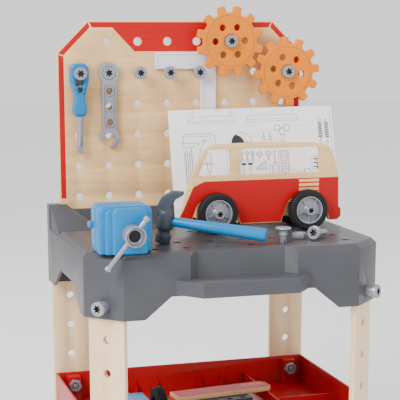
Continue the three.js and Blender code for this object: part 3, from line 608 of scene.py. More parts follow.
for side, sign in SIDES:
    for node in ("back_nut_" + side, "tray_nut_" + side):
        place_nut("hex_" + node, front_middle(node), 0.35 * sign, [node])
    low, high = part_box("tray_bolt_" + side)
    bolt_bm = full_screw((high.y - low.y) / MM)
    turn(bolt_bm, pi, "Z")
    shift(bolt_bm, ((low.x + high.x) / 2, high.y, (low.z + high.z) / 2))
    finish_screw("moulded_tray_bolt_" + side, bolt_bm, "tray_bolt_" + side)

    # the corner screw, its collar and its nut, square to the cut corner
    low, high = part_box("corner_screw_" + side)
    corner_bm = full_screw(50)
    turned([(0, HEAD_THICK), (8.6, HEAD_THICK), (8.6, 19.4), (0, 19.4)], 36, into=corner_bm)
    shift(corner_bm, (0, -25 * MM, 0))
    turn(corner_bm, sign * pi / 4, "Z")
    out = (25 + HEAD_R) * MM * cos(pi / 4)
    front_x = low.x if sign < 0 else high.x
    shift(corner_bm, (front_x - sign * out, low.y + out, (low.z + high.z) / 2))
    finish_screw("moulded_corner_screw_" + side, corner_bm, "corner_screw_" + side)
    low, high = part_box("corner_nut_" + side)
    nut_bm = hexagon_nut()
    shift(nut_bm, (0, -NUT_THICK / 2 * MM, 0))
    turn(nut_bm, sign * pi / 4, "Z")
    shift(nut_bm, (low + high) / 2)
    finish_piece("hex_corner_nut_" + side, nut_bm, silver, "bench", ["corner_nut_" + side])

# ---- gears ----
# Two orange moulded gears of twelve teeth. Each has six round holes, a fine groove inside
# its rim, and turns on a screw with a spacer tube behind it.
GEAR_TEETH = 12
TIP_R = 57.3
ROOT_R = 46
MESH_OFFSET = radians(2.0)
gear_orange = moulded_plastic("gear_orange", (0.74, 0.205, 0.0), 0.40, texture=0.05, cloud=0.05)
tooth_corners = ((-8.9, ROOT_R, 2.2), (-6.3, TIP_R, 2.8), (6.3, TIP_R, 2.8), (8.9, ROOT_R, 2.2))
gear_centres = [front_middle("gear_1_screw"), front_middle("gear_2_screw")]
line_angle = atan2(gear_centres[0].z - gear_centres[1].z, gear_centres[1].x - gear_centres[0].x)
tooth_step = 2 * pi / GEAR_TEETH
phases = (tooth_step / 2 - line_angle - MESH_OFFSET, -line_angle + MESH_OFFSET)


# A flat ring; its radii are in mm.
def ring(centre, outer, inner, y_front, y_back, rim=0.0, counts=(48, 48)):
    return plate(circle_points(centre.x, centre.z, outer * MM, counts[0]),
                 [circle_points(centre.x, centre.z, inner * MM, counts[1])], y_front, y_back, rim)


for number, (centre, phase) in enumerate(zip(gear_centres, phases), start=1):
    node = "gear_" + str(number)
    low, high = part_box(node)
    corners = []
    for tooth in range(GEAR_TEETH):
        for offset, radius, fillet in tooth_corners:
            angle = phase + tooth * tooth_step + radians(offset)
            corners.append((radius * cos(angle), radius * sin(angle), fillet))
    holes = [circle_points(centre.x, centre.z, 5.5 * MM, 36)]
    for x, z in circle_points(centre.x, centre.z, 25 * MM, 6, phase + tooth_step / 2):
        holes.append(circle_points(x, z, 5.6 * MM, 28))
    gear_bm = plate(rounded(corners, 4, (centre.x, centre.z)), holes, low.y, high.y, 0.9 * MM)
    groove_bm = ring(centre, 42.0, 40.6, low.y - 1 * MM, low.y + 0.8 * MM, counts=(72, 72))
    finish_piece("moulded_" + node, combine(gear_bm, groove_bm), gear_orange, node, [node])
    spacer_low, spacer_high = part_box(node + "_spacer")
    spacer_bm = ring(centre, 12, 5.4, spacer_low.y, spacer_high.y, 0.6 * MM, (40, 28))
    finish_piece("moulded_spacer_" + str(number), spacer_bm, silver, "bench", [node + "_spacer"])
    # the raised ring that the screw head sits in
    boss_bm = ring(centre, 14.2, 11.6, low.y - 1.6 * MM, low.y + 0.3 * MM, 0.4 * MM)
    finish_piece("gear_boss_" + str(number), boss_bm, gear_orange, node)

# ---- screwdriver ----
# A blue moulded grip with a waist and a keyhole slot to hang it by, and a grey plastic
# shaft with a flat blade, pushed into its end.
blue_plastic = moulded_plastic("tool_blue", (0.0, 0.17, 0.42), 0.27, texture=0.04, cloud=0.04)
low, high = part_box("screwdriver_handle")
grip_x = (low.x + high.x) / 2
grip = (grip_x, TOOL_ROW)
half_profile = [(0, 16, 0), (9, 16, 5), (15, 9, 5), (15, -12, 9), (10, -29, 14), (8, -41, 9), (11.2, -53, 8),
                (10.8, -64, 4), (6.5, -68, 2)]
mirrored = [(-x, z, radius) for x, z, radius in half_profile[:0:-1]]
hanging_slot = rounded([(-5.6, 5.6, 5), (-5.6, -19, 1), (5.6, -19, 1), (5.6, 5.6, 5)], origin=grip)
eye_z = TOOL_ROW - 26 * MM
grip_bm = plate(rounded(half_profile + mirrored, 7, grip),
                [hanging_slot, circle_points(grip_x, eye_z, 4.6 * MM, 32)], low.y, high.y, 3.2 * MM)
finish_piece("screwdriver_grip", grip_bm, blue_plastic, "screwdriver", ["screwdriver_handle"],
             crease=50)
eyelet_bm = turned([(4.7, -0.9), (5.2, -1.2), (6.8, -1.2), (7.3, 0.3), (4.7, 0.3), (4.7, -0.9)], 36)
shift(eyelet_bm, (grip_x, low.y + 0.2 * MM, eye_z))
finish_piece("grip_eyelet", eyelet_bm, blue_plastic, "screwdriver")

low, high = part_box("screwdriver_shaft")
shaft_y = (low.y + high.y) / 2
shaft_length = (high.z - low.z) / MM
rod_bm = turned([(0, 0), (5.1, 0), (5.1, shaft_length - 18), (3.4, shaft_length - 12),
                 (0, shaft_length - 12)], 32)
turn(rod_bm, -pi / 2, "X")
shift(rod_bm, (grip_x, shaft_y, high.z))
blade = [(-4.5, 19, 1), (-6, 12, 2), (-5.4, 0, 0.6), (5.4, 0, 0.6), (6, 12, 2), (4.5, 19, 1)]
blade_bm = plate(rounded(blade, 4, (grip_x, low.z)), [], shaft_y - 1.8 * MM, shaft_y + 1.8 * MM, 0.5 * MM)
finish_piece("screwdriver_rod", combine(rod_bm, blade_bm, "UNION"), silver, "screwdriver",
             ["screwdriver_shaft"])

# ---- wrench ----
# A grey moulded spanner: a ring end with an eight-sided hole, a shank with raised rails and
# three collared holes, and an open jaw turned to one side.
low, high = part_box("wrench")
wrench_x = front_middle("wrench_screw").x
wrench_eye = (wrench_x, TOOL_ROW)
jaw_z = TOOL_ROW - 104 * MM
WRENCH_RIM = 1.1 * MM
MOUTH_TURN = radians(35)


def cut_through(bm, outline):
    return combine(bm, plate(outline, [], low.y - 2 * MM, high.y + 2 * MM))


eye_loop = circle_points(wrench_x, TOOL_ROW, 11.3 * MM, 8, pi / 8)
shank_corners = [(-12.2, -10, 0), (-11.6, -92, 3), (11.6, -92, 3), (12.2, -10, 0)]
wrench_bm = plate(circle_points(wrench_x, TOOL_ROW, 17.3 * MM, 64), [eye_loop], low.y, high.y, WRENCH_RIM)
for part_loop in (rounded(shank_corners, 4, wrench_eye), circle_points(wrench_x, jaw_z, 16.4 * MM, 64)):
    wrench_bm = combine(wrench_bm, plate(part_loop, [], low.y, high.y, WRENCH_RIM), "UNION")
wrench_bm = cut_through(wrench_bm, eye_loop)
mouth = [(-9.4, -30), (9.4, -30), (9.4, -1), (7.0, 5.0), (0, 7.6), (-7.0, 5.0), (-9.4, -1)]
turned_mouth = [(wrench_x + (x * cos(MOUTH_TURN) + z * sin(MOUTH_TURN)) * MM,
                 jaw_z + (z * cos(MOUTH_TURN) - x * sin(MOUTH_TURN)) * MM) for x, z in mouth]
wrench_bm = cut_through(wrench_bm, turned_mouth)
web = rounded([(-8.8, -19.5, 3), (-8.6, -88, 3), (8.6, -88, 3), (8.8, -19.5, 3)], 5, wrench_eye)
hole_z = [TOOL_ROW - (28.5 + 25.2 * i) * MM for i in range(3)]
collars = [circle_points(wrench_x, z, 8.2 * MM, 40) for z in hole_z]
wrench_bm = combine(wrench_bm, plate(web, collars, low.y - 1 * MM, low.y + 2.2 * MM))
for z in hole_z:
    wrench_bm = cut_through(wrench_bm, circle_points(wrench_x, z, 5.7 * MM, 36))
finish_piece("moulded_wrench", wrench_bm, silver, "wrench", ["wrench"], crease=30)

# ---- try square ----
# An off-white moulded L with a raised border, resting on two of the board's screws.
cream_plastic = moulded_plastic("square_cream", (0.74, 0.71, 0.78), 0.42, texture=0.05, cloud=0.03)
low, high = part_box("try_square")
ARM = 27 * MM
BORDER = 3.2 * MM
post_x = high.x - 26.2 * MM


def square_outline(inset, radius, steps):
    arm_z = high.z - ARM + inset
    corners = [(low.x + inset, arm_z), (post_x + inset, arm_z), (post_x + inset, low.z + inset),
               (high.x - inset, low.z + inset), (high.x - inset, high.z - inset),
               (low.x + inset, high.z - inset)]
    return rounded([(x, z, radius) for x, z in corners], steps, unit=1)


square_bm = plate(square_outline(0, 1.2 * MM, 4), [], low.y, high.y, 0.6 * MM)
panel_bm = plate(square_outline(BORDER, 1 * MM, 3), [], low.y - 1 * MM, low.y + 1.3 * MM)
finish_piece("moulded_square", combine(square_bm, panel_bm), cream_plastic, "try_square",
             ["try_square"])

# ---- poster ----
# A sheet of printed card that stands on the worktop and leans back towards the board. It
# shows the wall of a workshop in thin black outlines: lamps, hand tools and a cabinet.
POSTER_LEAN = radians(18)
CARD = 0.6 * MM
INK_LIFT = 0.05 * MM


# A point given in mm from the board's middle, the board's face and the working surface.
def at(x, y, z):
    return Vector((MID_X + x * MM, BOARD_Y + y * MM, SURFACE + z * MM))


def place(bm, matrix):
    bmesh.ops.transform(bm, matrix=matrix, verts=bm.verts)


poster_place = (Matrix.Translation(at(-27.5, -10, 0.3 + 191 * cos(POSTER_LEAN)))
                @ Matrix.Rotation(radians(-8), 4, "Z") @ Matrix.Rotation(-POSTER_LEAN, 4, "X")
                @ Matrix.Rotation(radians(-1.2), 4, "Y"))
card = paint_material("printed_card", (0.90, 0.885, 0.89), 0.6)
ink = paint_material("printing_ink", (0.030, 0.030, 0.034), 0.5)
sheet_bm = plate(rounded([(0, -191, 2), (276, -191, 2), (276, 0, 2), (0, 0, 2)], 4), [], -CARD, 0)
place(sheet_bm, poster_place)
finish_piece("poster_sheet", sheet_bm, card, "poster", ["poster"])

ink_bm = bmesh.new()


# Printed areas, pen lines, closed outlines and rings, in mm from the sheet's top left corner.
def fill(points):
    ink_bm.faces.new([ink_bm.verts.new((x * MM, -CARD - INK_LIFT, z * MM)) for x, z in points])


def pen(points, width=0.6):
    for first, last in zip(points, points[1:]):
        along = (Vector(last) - Vector(first)).normalized() * width / 2
        across = Vector((-along.y, along.x))
        fill([Vector(first) - along + across, Vector(first) - along - across,
              Vector(last) + along - across, Vector(last) + along + across])


def outline(points, width=0.6):
    pen(points + points[:1], width)


def pen_ring(x, z, radius, count, width):
    outline(circle_points(x, z, radius, count), width)


def pen_box(x, z, wide, high, width=0.6):
    outline([(x, z), (x + wide, z), (x + wide, z - high), (x, z - high)], width)


for left, right in ((32, 112), (130, 217)):
    pen([(left + 9, 0), (left + 9, -12)], 0.4)
    pen([(right - 7, 0), (right - 7, -12)], 0.4)
    outline([(left + 5, -12.5), (right - 4, -12.5), (right, -19.5), (right, -23), (left, -23),
             (left, -19.5)], 0.5)
    pen([(left, -19.5), (right, -19.5)], 0.4)
# a scroll saw's bowed frame, with a brush standing under it
pen(rounded([(22, -56, 0), (22, -41, 7), (75, -41, 9), (75, -64, 5), (70, -68, 0)], 6, unit=1)[:-1], 0.8)
pen([(28, -45.5), (66, -45.5), (69, -50), (69, -60)], 0.5)
pen_box(20, -56, 19, 7, 0.7)
pen([(25, -63), (25, -70), (35, -70), (35, -63)], 0.7)
for stripe in range(4):
    pen([(24.5 + stripe * 3.4, -72), (24.5 + stripe * 3.4, -122)], 1.1)
pen([(22.5, -70), (22.5, -124), (37.5, -124), (37.5, -70)], 0.5)
knobs = [(46, -58), (58, -52), (50, -68)]
for x, z in knobs:
    pen_ring(x, z, 2.2, 12, 0.6)
pen(knobs + [(44, -80)], 0.5)
# a helmet, two screwdrivers and a wing nut
outline(circle_points(119.5, -58, 17, 24)[:13], 0.7)
fill([(102.5, -58), (104.5, -50), (110, -44), (117, -47), (123, -54), (124, -58)])
pen([(119.5, -41), (119.5, -50), (130, -56)], 0.5)
for x in (157, 168):
    pen([(x, -41), (x, -49)], 0.9)
    outline([(x - 2, -49), (x + 2, -49), (x + 2.4, -60), (x - 2.4, -60)])
    pen([(x - 2.2, -54), (x + 2.2, -54)], 0.8)
pen_ring(181, -35, 5.2, 14, 0.8)
pen_ring(197, -35, 5.2, 14, 0.8)
pen_ring(189, -41, 5.5, 16, 0.8)
pen([(186, -46), (187, -58), (191, -58), (192, -46)], 0.7)
# two hanging springs
for x in (254, 265):
    pen_ring(x, -24, 2.2, 10, 0.6)
    for coil in range(9):
        pen([(x - 2.6, -28 - coil * 3), (x + 2.6, -29.6 - coil * 3)], 1.9)
    pen([(x, -54), (x, -59)], 0.7)
    pen_ring(x, -61.5, 2.2, 10, 0.6)
# a cord drill and the edge of a door
pen_box(58, -74, 8, 15, 0.8)
pen([(54, -92), (70, -92)], 1.2)
pen([(59, -92), (60, -104), (65, -104), (66, -92)], 0.7)
pen([(62.5, -104), (62.5, -116)], 1.0)
pen([(93.5, -66), (92, -150)], 0.5)
pen([(97.5, -66), (96, -150)], 0.5)
# spanners, hammers and small tools on hooks
for x in (118, 127, 136):
    pen_ring(x, -76, 2.4, 10, 0.9)
    pen([(x, -78.4), (x, -86)], 1.3)
    pen_ring(x, -88, 2.0, 10, 0.9)
for x in (120, 131):
    fill([(x - 3.6, -92.5), (x + 4.4, -92.5), (x + 4.4, -96), (x - 3.6, -96)])
    pen([(x - 1, -96), (x - 1.4, -116), (x + 1.8, -116), (x + 1.4, -96)])
outline([(143, -78), (148, -74), (153, -78), (148, -84)], 1.0)
pen([(145, -79), (151, -79)], 0.8)
pen_ring(163, -77, 3.6, 12, 0.9)
pen([(163, -80.6), (163, -90)], 1.3)
for dot in range(5):
    pen_ring(173, -75 - dot * 4.6, 1.1, 8, 0.8)
outline([(141, -104), (158, -104), (158, -90), (150, -96), (141, -102)], 0.8)
for tooth in range(5):
    pen([(143.5 + tooth * 3, -103.5), (143.5 + tooth * 3, -99 + tooth)], 0.7)
for x, z, wide in ((163, -98, 5), (170, -94, 6)):
    pen_box(x, z, wide, 22)
    pen([(x, z - 5), (x + wide, z - 5)])
# the cabinet of drawers
pen_box(180, -74, 17, 66, 0.7)
pen([(183, -74), (183, -140)], 0.4)
for drawer in range(6):
    pen_box(184.5, -76 - drawer * 10.4, 10.5, 8, 0.7)
    pen([(187.5, -80 - drawer * 10.4), (192, -80 - drawer * 10.4)], 1.1)
# a chain saw on a shelf, and a framed sign
outline([(202, -107), (222, -112), (222, -117), (203, -112)])
outline([(222, -106), (231, -106), (233, -118), (221, -118)], 0.7)
pen([(200, -119), (250, -119)], 0.5)
pen_box(235.5, -86, 12, 21, 0.5)
for z in (-88.5, -95, -101.5):
    fill([(238, z), (245.5, z), (245.5, z - 2), (238, z - 2)])
    fill([(243.6, z - 2), (245.5, z - 2), (245.5, z - 5), (243.6, z - 5)])
pen([(272.4, -1.5), (272.4, -189)], 0.5)
pen([(2, -166), (272, -166)], 0.5)
place(ink_bm, poster_place)
finish_piece("poster_print", ink_bm, ink, "poster")

# ---- vise ----
# A soft-edged blue moulded vise on the worktop's left front corner. The moving jaw, its
# front fluted, is drawn along by a hollow silver spindle that a sliding bar turns.
jaw_low, jaw_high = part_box("vise_moving_jaw")
fixed_low, fixed_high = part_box("vise_fixed_jaw")
stem_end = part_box("vise_spindle")[1].y
hub = front_middle("vise_spindle")
JAW_WAIST = 4 * MM
LEVER_TURN = radians(50.6)


def soft_block(x_low, x_high, y_low, y_high, z_low, z_high, top_radius, rim):
    foot_radius = rim + 0.6 * MM
    corners = [(x_low, z_low, foot_radius), (x_high, z_low, foot_radius), (x_high, z_high, top_radius),
               (x_low, z_high, top_radius)]
    return plate(rounded(corners, 7, unit=1), [], y_low, y_high, rim)


def bore_for_spindle(bm):
    return combine(bm, bar(hub, (hub.x, stem_end + 4 * MM, hub.z), 6.5 * MM, 40))


jaw_bm = soft_block(jaw_low.x, jaw_high.x, jaw_low.y + 11.5 * MM, jaw_high.y, jaw_low.z, jaw_high.z,
                    10 * MM, JAW_WAIST)
flutes = [(jaw_low.x + 9 * MM, jaw_low.x + 30 * MM, 6.5 * MM, 4 * MM, 3 * MM),
          (jaw_low.x + 18.5 * MM, jaw_high.x - 9 * MM, 0, 2.5 * MM, 3.6 * MM)]
for x_low, x_high, back_set, drop, rim in flutes:
    flute_bm = soft_block(x_low, x_high, jaw_low.y + back_set, jaw_low.y + 26 * MM, jaw_low.z,
                          jaw_high.z - drop, 9 * MM, rim)
    jaw_bm = combine(jaw_bm, flute_bm, "UNION")
finish_piece("vise_front_jaw", bore_for_spindle(jaw_bm), blue_plastic, "vise_jaw", ["vise_moving_jaw"],
             crease=50)

back_bm = soft_block(fixed_high.x - 79 * MM, fixed_high.x, fixed_low.y, fixed_high.y, fixed_low.z,
                     fixed_high.z, 10 * MM, JAW_WAIST)
nub_bm = soft_block(fixed_low.x + 4.5 * MM, fixed_high.x - 70 * MM, fixed_high.y - 19 * MM,
                    fixed_high.y - 7 * MM, SURFACE + 35 * MM, SURFACE + 44 * MM, 2.5 * MM, 1.5 * MM)
finish_piece("vise_back_jaw", bore_for_spindle(combine(back_bm, nub_bm, "UNION")), blue_plastic, "bench",
             ["vise_fixed_jaw"], crease=50)

lever_way = Vector((cos(LEVER_TURN), 0, sin(LEVER_TURN)))
lever_middle = hub + Vector((0, 15 * MM, 0))
spindle_bm = turned([(0, 10.5), (8.8, 10.5), (8.8, 8.3), (9.3, 7.8), (10.8, 7.8), (11.3, 8.3), (11.4, 9.2),
                     (12.9, 9.2), (13.2, 0.9), (13.6, 0.2), (14.2, 0), (14.8, 0.5), (15, 1.4), (15, 26.8),
                     (14.3, 27.8), (6, 27.8), (6, 81), (5, 82), (0, 82)], 56)
shift(spindle_bm, hub)
lever_bore = bar(lever_middle - lever_way * 30 * MM, lever_middle + lever_way * 30 * MM, 4 * MM)
finish_piece("vise_spindle_tube", combine(spindle_bm, lever_bore), silver, "vise_spindle",
             ["vise_spindle"], crease=40)
# A dark disc across the bottom of the spindle's bore: painted shade for the deep, shadowed cup.
bore_shade_disc = moulded_plastic("painted_bore_shade", (0.012, 0.012, 0.014), 0.6, texture=0.05)
bore_shade_bm = turned([(0, 10.2), (8.6, 10.2), (8.6, 10.45), (0, 10.45)])
shift(bore_shade_bm, hub)
finish_piece("vise_spindle_bore_shade", bore_shade_bm, bore_shade_disc, "vise_spindle")

lever_bm = turned([(0, -62), (3.4, -62), (4.6, -61.2), (4.8, -60), (4.8, -57.5), (4.2, -56), (3.5, -55),
                   (3.5, 26), (4.3, 26.6), (4.8, 27.6), (4.8, 31.6), (4.2, 32.8), (0, 33)], 36)
place(lever_bm, Matrix.Translation(lever_middle) @ lever_way.to_track_quat("Y", "Z").to_matrix().to_4x4())
finish_piece("vise_sliding_bar", lever_bm, silver, "vise_lever", ["vise_lever"], crease=45)

# ---- hammer ----
# A toy claw hammer standing on its face: a dark slate moulded head with a split, curled
# claw, and a round blue handle that thickens towards its end.
slate = moulded_plastic("hammer_slate", (0.042, 0.050, 0.068), 0.33, texture=0.05, cloud=0.05)
hammer_place = (Matrix.Translation(at(-99, -238, 1.9)) @ Matrix.Rotation(radians(-23.7), 4, "Z")
                @ Matrix.Rotation(radians(7.4), 4, "Y"))
hammer_bm = turned([
    (0, 0), (10, 0), (11.2, 0.7), (11.5, 1.8), (11.5, 3.2), (10.9, 3.6), (10.9, 4.2), (11.5, 4.6),
    (11.5, 7.4), (10.9, 7.8), (10.9, 8.4), (11.5, 8.8), (11.5, 12.2), (10.6, 13.6), (9.3, 14.2), (9, 15.2),
    (9, 18.6), (10.4, 20.2), (12, 21.4), (12.5, 23), (12.5, 45), (11.4, 48.4), (9, 50), (0, 50)], 56)
turn(hammer_bm, pi / 2, "X")
claw_corners = [(-13.2, 40, 2), (12.4, 40, 2), (8, 54, 9), (10, 65, 12), (22.5, 75, 1.2), (21.5, 79.4, 1.2),
                (6, 79, 14), (-7.5, 70, 12), (-13.4, 56, 12)]
hammer_bm = combine(hammer_bm, plate(rounded(claw_corners), [], -9 * MM, 9 * MM, 1.3 * MM), "UNION")
split = rounded([(8, 84, 0), (30, 84, 0), (30, 68, 0), (8, 66, 1.5)], 5)
hammer_bm = combine(hammer_bm, plate(split, [], -1.9 * MM, 1.9 * MM))
hammer_bm = combine(hammer_bm, bar((-1 * MM, 0, 33 * MM), (30 * MM, 0, 33 * MM), 6.1 * MM, 40))
place(hammer_bm, hammer_place)
finish_piece("hammer_head_moulding", hammer_bm, slate, "hammer", ["hammer_head"], crease=45)

handle_bm = turned([(0, 1), (5.6, 1), (5.7, 13), (6.8, 13.4), (7.1, 14.4), (10.1, 147), (9.9, 149.6),
                    (8.8, 151.4), (6.5, 152), (0, 152)], 48)
turn(handle_bm, -pi / 2, "Z")
shift(handle_bm, (0, 0, 33 * MM))
place(handle_bm, hammer_place)
finish_piece("hammer_handle_moulding", handle_bm, blue_plastic, "hammer", ["hammer_handle"],
             crease=45)

# ---- loose fastenings ----
# A split rivet peg standing in a worktop hole, a hexagon nut and a screw lying beside it,
# all of the same silver-grey plastic as the other screws.
peg_bm = turned([(0, -0.5), (6, -0.4), (10.4, -0.1), (11.6, 0.5), (12, 1.4), (11.9, 2.6), (10.6, 3.4),
                 (7.4, 4.6), (6.5, 6), (6.5, 11.8), (5.4, 12.8), (5, 14), (5, 38.6), (4, 40), (0, 40)], 44)
turn(peg_bm, -pi / 2, "X")
peg_slit = rounded([(-0.8, -45, 0), (0.8, -45, 0), (0.8, -18, 0), (-0.8, -18, 0)])
peg_bm = combine(peg_bm, plate(peg_slit, [], -8 * MM, 8 * MM))
shift(peg_bm, at(75, -285, 24))
finish_piece("split_rivet_peg", peg_bm, silver, "rivet_peg", ["rivet_peg"], crease=40)

lone_nut_bm = hexagon_nut()
turn(lone_nut_bm, -pi / 2, "X")
turn(lone_nut_bm, 0.3, "Z")
shift(lone_nut_bm, at(113, -253, 9.3))
finish_piece("lone_hex_nut", lone_nut_bm, silver, "loose_nut", ["loose_nut"])

lone_screw_bm = full_screw(44)
place(lone_screw_bm, Matrix.Translation(at(126, -277, 11.7)) @ Matrix.Rotation(radians(-47), 4, "Z")
      @ Matrix.Rotation(radians(-6.4), 4, "X"))
finish_screw("lone_screw", lone_screw_bm, "loose_screw", "loose_screw")

# ---- model bus ----
# A bus to build: one plywood side, sawn out with two windows and screen printed red below
# the waist, on a wooden chassis. Plastic axles carry four grey hubs with black tyres.
panel_low, panel_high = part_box("bus_panel")
BUS_RIM = 1.0 * MM
SILL = 13                     # bottom edge of the panel, mm above the working surface
AXLES = (5.5, 155.5)
WHEEL_Z = 32.9
WAIST = 70
bus_wood = wood_material("bus_birch_ply", "x", (0.84, 0.55, 0.26), (0.72, 0.41, 0.17), figure=0.6)
bus_red = paint_material("bus_red_print", (0.46, 0.0, 0.002), 0.38)


def bus_loop(corners, shrink=0.0):
    loop = rounded(corners, 6, (MID_X, SURFACE + SILL * MM))
    pulled = []
    for i, here in enumerate(loop):
        before = (Vector(here) - Vector(loop[i - 1])).normalized()
        after = (Vector(loop[(i + 1) % len(loop)]) - Vector(here)).normalized()
        along = (before + after).normalized()
        pulled.append((here[0] - along.y * shrink, here[1] + along.x * shrink))
    return pulled


base_line = [(-50, 0, 3)]
for axle in AXLES:
    base_line += [(axle - 41, 0, 1.5), (axle - 27, 38, 16), (axle + 27, 38, 16), (axle + 41, 0, 1.5)]
base_line += [(211, 0, 4), (217, 6, 3), (217, 18, 3), (213, 22, 3)]
body_corners = base_line + [
    (212, 70, 30), (202, 107, 16), (193, 120, 12), (172, 124.5, 30), (86, 127, 60), (4, 125.5, 20),
    (-15, 115, 14), (-37, 66, 30), (-47, 27, 12), (-55, 12, 4), (-55, 4, 3)]
cab_window = [(-22, 77, 2.5), (28, 77, 3), (31, 81, 3), (31, 115, 4), (27, 118, 4), (-5.5, 118, 5)]
side_window = [(47, 77, 5), (179, 77, 5), (179, 118, 7), (47, 118, 7)]
panel_bm = plate(bus_loop(body_corners), [bus_loop(cab_window), bus_loop(side_window)],
                 panel_low.y, panel_high.y, BUS_RIM)
finish_piece("bus_side", panel_bm, bus_wood, "bus", ["bus_panel"])

print_corners = base_line + [
    (212, WAIST, 1), (-12, WAIST, 18), (-31, 62, 10), (-41, 40, 12), (-47, 27, 6), (-55, 12, 4), (-55, 4, 3)]
print_loop = bus_loop(print_corners, 1.2 * MM)
vents = [bus_loop([(144, top, 0.6), (178, top, 0.6), (178, top - 4.6, 0.6), (144, top - 4.6, 0.6)])
         for top in (67.4, 60.6, 53.8, 47.0)]
for name, y_front, y_back in (("bus_print_front", panel_low.y - PRINT_THICK, panel_low.y + 0.02 * MM),
                              ("bus_print_back", panel_high.y - 0.02 * MM, panel_high.y + PRINT_THICK)):
    finish_piece(name, plate(print_loop, vents, y_front, y_back), bus_red, "bus")

chassis_bm = copy_of("bus_chassis")
round_edges(chassis_bm, 1.0 * MM, sharper_than=40, segments=3)
finish_piece("bus_chassis_block", chassis_bm, bus_wood, "bus", ["bus_chassis"])

TYRE_R = 32
RIM_R = 22
TYRE_WIDE = 17
rubber = moulded_plastic("black_rubber", (0.010, 0.010, 0.011), 0.62, texture=0.25, cloud=0.15)


# A tyre from y = 0 back, its tread cut by grooves across it.
def tyre_ring(outer, inner, wide, grooves=44):
    shoulder = outer - 1.2
    bm = turned([
        (inner, 1.4), (inner + 1.4, 0.3), (inner + 3, 0.5), (outer - 4.4, 0), (outer - 2.6, 0.4),
        (shoulder, 1.8), (outer, 3.4), (outer, wide - 3.4), (shoulder, wide - 1.8), (outer - 2.6, wide - 0.4),
        (outer - 4.4, wide), (inner + 3, wide - 0.5), (inner + 1.4, wide - 0.3), (inner, wide - 1.4),
        (inner, 1.4)], grooves * 4)
    for vert in bm.verts:
        radius = (vert.co.x ** 2 + vert.co.z ** 2) ** 0.5
        groove = (atan2(vert.co.z, vert.co.x) / (2 * pi) * grooves * 4 + 0.5) % 4
        if radius > (shoulder - 0.1) * MM and groove < 1:
            squeeze = 1 - 1.3 * MM / radius
            vert.co.x *= squeeze
            vert.co.z *= squeeze
    return bm


hub_profile = [
    (RIM_R - 0.2, 0.6), (RIM_R - 0.2, TYRE_WIDE - 0.6), (RIM_R - 2.6, TYRE_WIDE - 0.6), (RIM_R - 2.8, 9.5),
    (10.5, 9.5), (9.8, 14), (4.5, 14), (4.5, 0.4), (8.6, 0.4), (9.4, 1.2), (9.8, 5.2), (RIM_R - 3.4, 6.2),
    (RIM_R - 2.4, 0.9), (RIM_R - 1.4, 0.4), (RIM_R - 0.2, 0.6)]
rib_corners = [(9, -1.1, 0), (19.6, -0.9, 0), (19.6, 0.9, 0), (9, 1.1, 0)]
for end, axle in zip(("front", "rear"), AXLES):
    for side, wheel_y in (("near", -188), ("far", -120)):
        wheel = end + "_" + side
        tyre_bm = tyre_ring(TYRE_R, RIM_R + 0.1, TYRE_WIDE)
        shift(tyre_bm, at(axle, wheel_y, WHEEL_Z))
        finish_piece("tyre_" + wheel, tyre_bm, rubber, "wheel_" + wheel, ["bus_tyre_" + wheel],
                     crease=28)
        hub_bm = turned(hub_profile, 60)
        for spoke in range(5):
            rib_bm = plate(rounded(rib_corners), [], 2.4 * MM, 6.4 * MM)
            turn(rib_bm, 2 * pi * spoke / 5 + 0.35, "Y")
            rib_mesh = bpy.data.meshes.new("rib")
            rib_bm.to_mesh(rib_mesh)
            rib_bm.free()
            hub_bm.from_mesh(rib_mesh)
            bpy.data.meshes.remove(rib_mesh)
        shift(hub_bm, at(axle, wheel_y, WHEEL_Z))
        finish_piece("hub_" + wheel, hub_bm, silver, "wheel_" + wheel, ["bus_hub_" + wheel],
                     crease=30)
    axle_low, axle_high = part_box("bus_axle_" + end)
    axle_length = axle_high.y - axle_low.y
    axle_bm = screw_head(8, 6, 5)
    bar((0, 5.8 * MM, 0), (0, axle_length - 2.4 * MM, 0), 4 * MM, 32, into=axle_bm)
    bar((0, axle_length - 2.5 * MM, 0), (0, axle_length, 0), 8 * MM, 40, into=axle_bm)
    shift(axle_bm, at(axle, -194, WHEEL_Z))
    finish_piece("axle_" + end, axle_bm, [silver, socket_painted_shade], "bus", ["bus_axle_" + end],
                 crease=40)

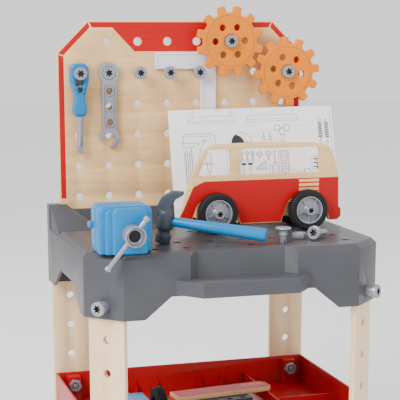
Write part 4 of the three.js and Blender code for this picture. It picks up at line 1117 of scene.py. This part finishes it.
# ---- parts in the tray ----
# Loose building parts: a plywood plank printed red on both faces lies across a divider and
# a dark moulded beam, beside a spare tyre and a blue bracket hooked over a divider.
TRAY_Z = 188.3 - 466          # top of the dividers below the working surface, in mm
PLANK_TURN = Matrix.Rotation(radians(7), 4, "Z")


# A block given by its outline in plan (x, y, radius), in mm, between two heights.
def plan_block(corners, holes, z_low, z_high, rim):
    loops = [[(x * MM, -y * MM) for x, y in hole] for hole in holes]
    flipped = [(x, -y, radius) for x, y, radius in corners]
    bm = plate(rounded(flipped, 7), loops, z_low * MM, z_high * MM, rim * MM)
    turn(bm, pi / 2, "X")
    return bm


plank_place = Matrix.Translation(at(35, -109, TRAY_Z)) @ PLANK_TURN
for name, material, nodes, inset, grow, z_low, z_high, rim in (
        ("red_plank", bus_wood, ["tray_plank"], 0, 0, 0, 7, 0.8),
        ("plank_print_top", bus_red, (), 1.2, 1, 6.98, 7.12, 0),
        ("plank_print_under", bus_red, (), 1.2, 1, -0.12, 0.02, 0)):
    long, wide = 85 - inset, 20 - inset
    corners = [(-long, -wide, 2 - grow), (long, -wide, 14 - grow), (long, wide, 14 - grow),
               (-long, wide, 2 - grow)]
    holes = [circle_points(44 + i * 14, 6, 4 + grow) for i in range(3)]
    plank_bm = plan_block(corners, holes, z_low, z_high, rim)
    place(plank_bm, plank_place)
    finish_piece(name, plank_bm, material, "tray_plank", nodes)

beam_corners = [(-62, -17, 2), (62, -17, 2), (62, 17, 2), (-62, 17, 2)]
beam_bm = plan_block(beam_corners, [circle_points(-48 + i * 24, -9, 4.5, 24) for i in range(5)], 0, 19.7, 1.2)
place(beam_bm, Matrix.Translation(at(14, -136, TRAY_Z - 20)) @ PLANK_TURN)
finish_piece("moulded_beam", beam_bm, slate, "tray_beam", ["tray_beam"])

spare_bm = tyre_ring(30, 14.1, 17)
turn(spare_bm, -pi / 2, "Z")
shift(spare_bm, at(-99.5, -179, TRAY_Z - 20 + 30))
finish_piece("spare_tyre", spare_bm, rubber, "tray_tyre", ["tray_tyre"], crease=28)

bracket_bm = copy_of("tray_bracket")
round_edges(bracket_bm, 1.2 * MM, sharper_than=40, segments=3)
finish_piece("angle_bracket", bracket_bm, blue_plastic, "tray_bracket", ["tray_bracket"])
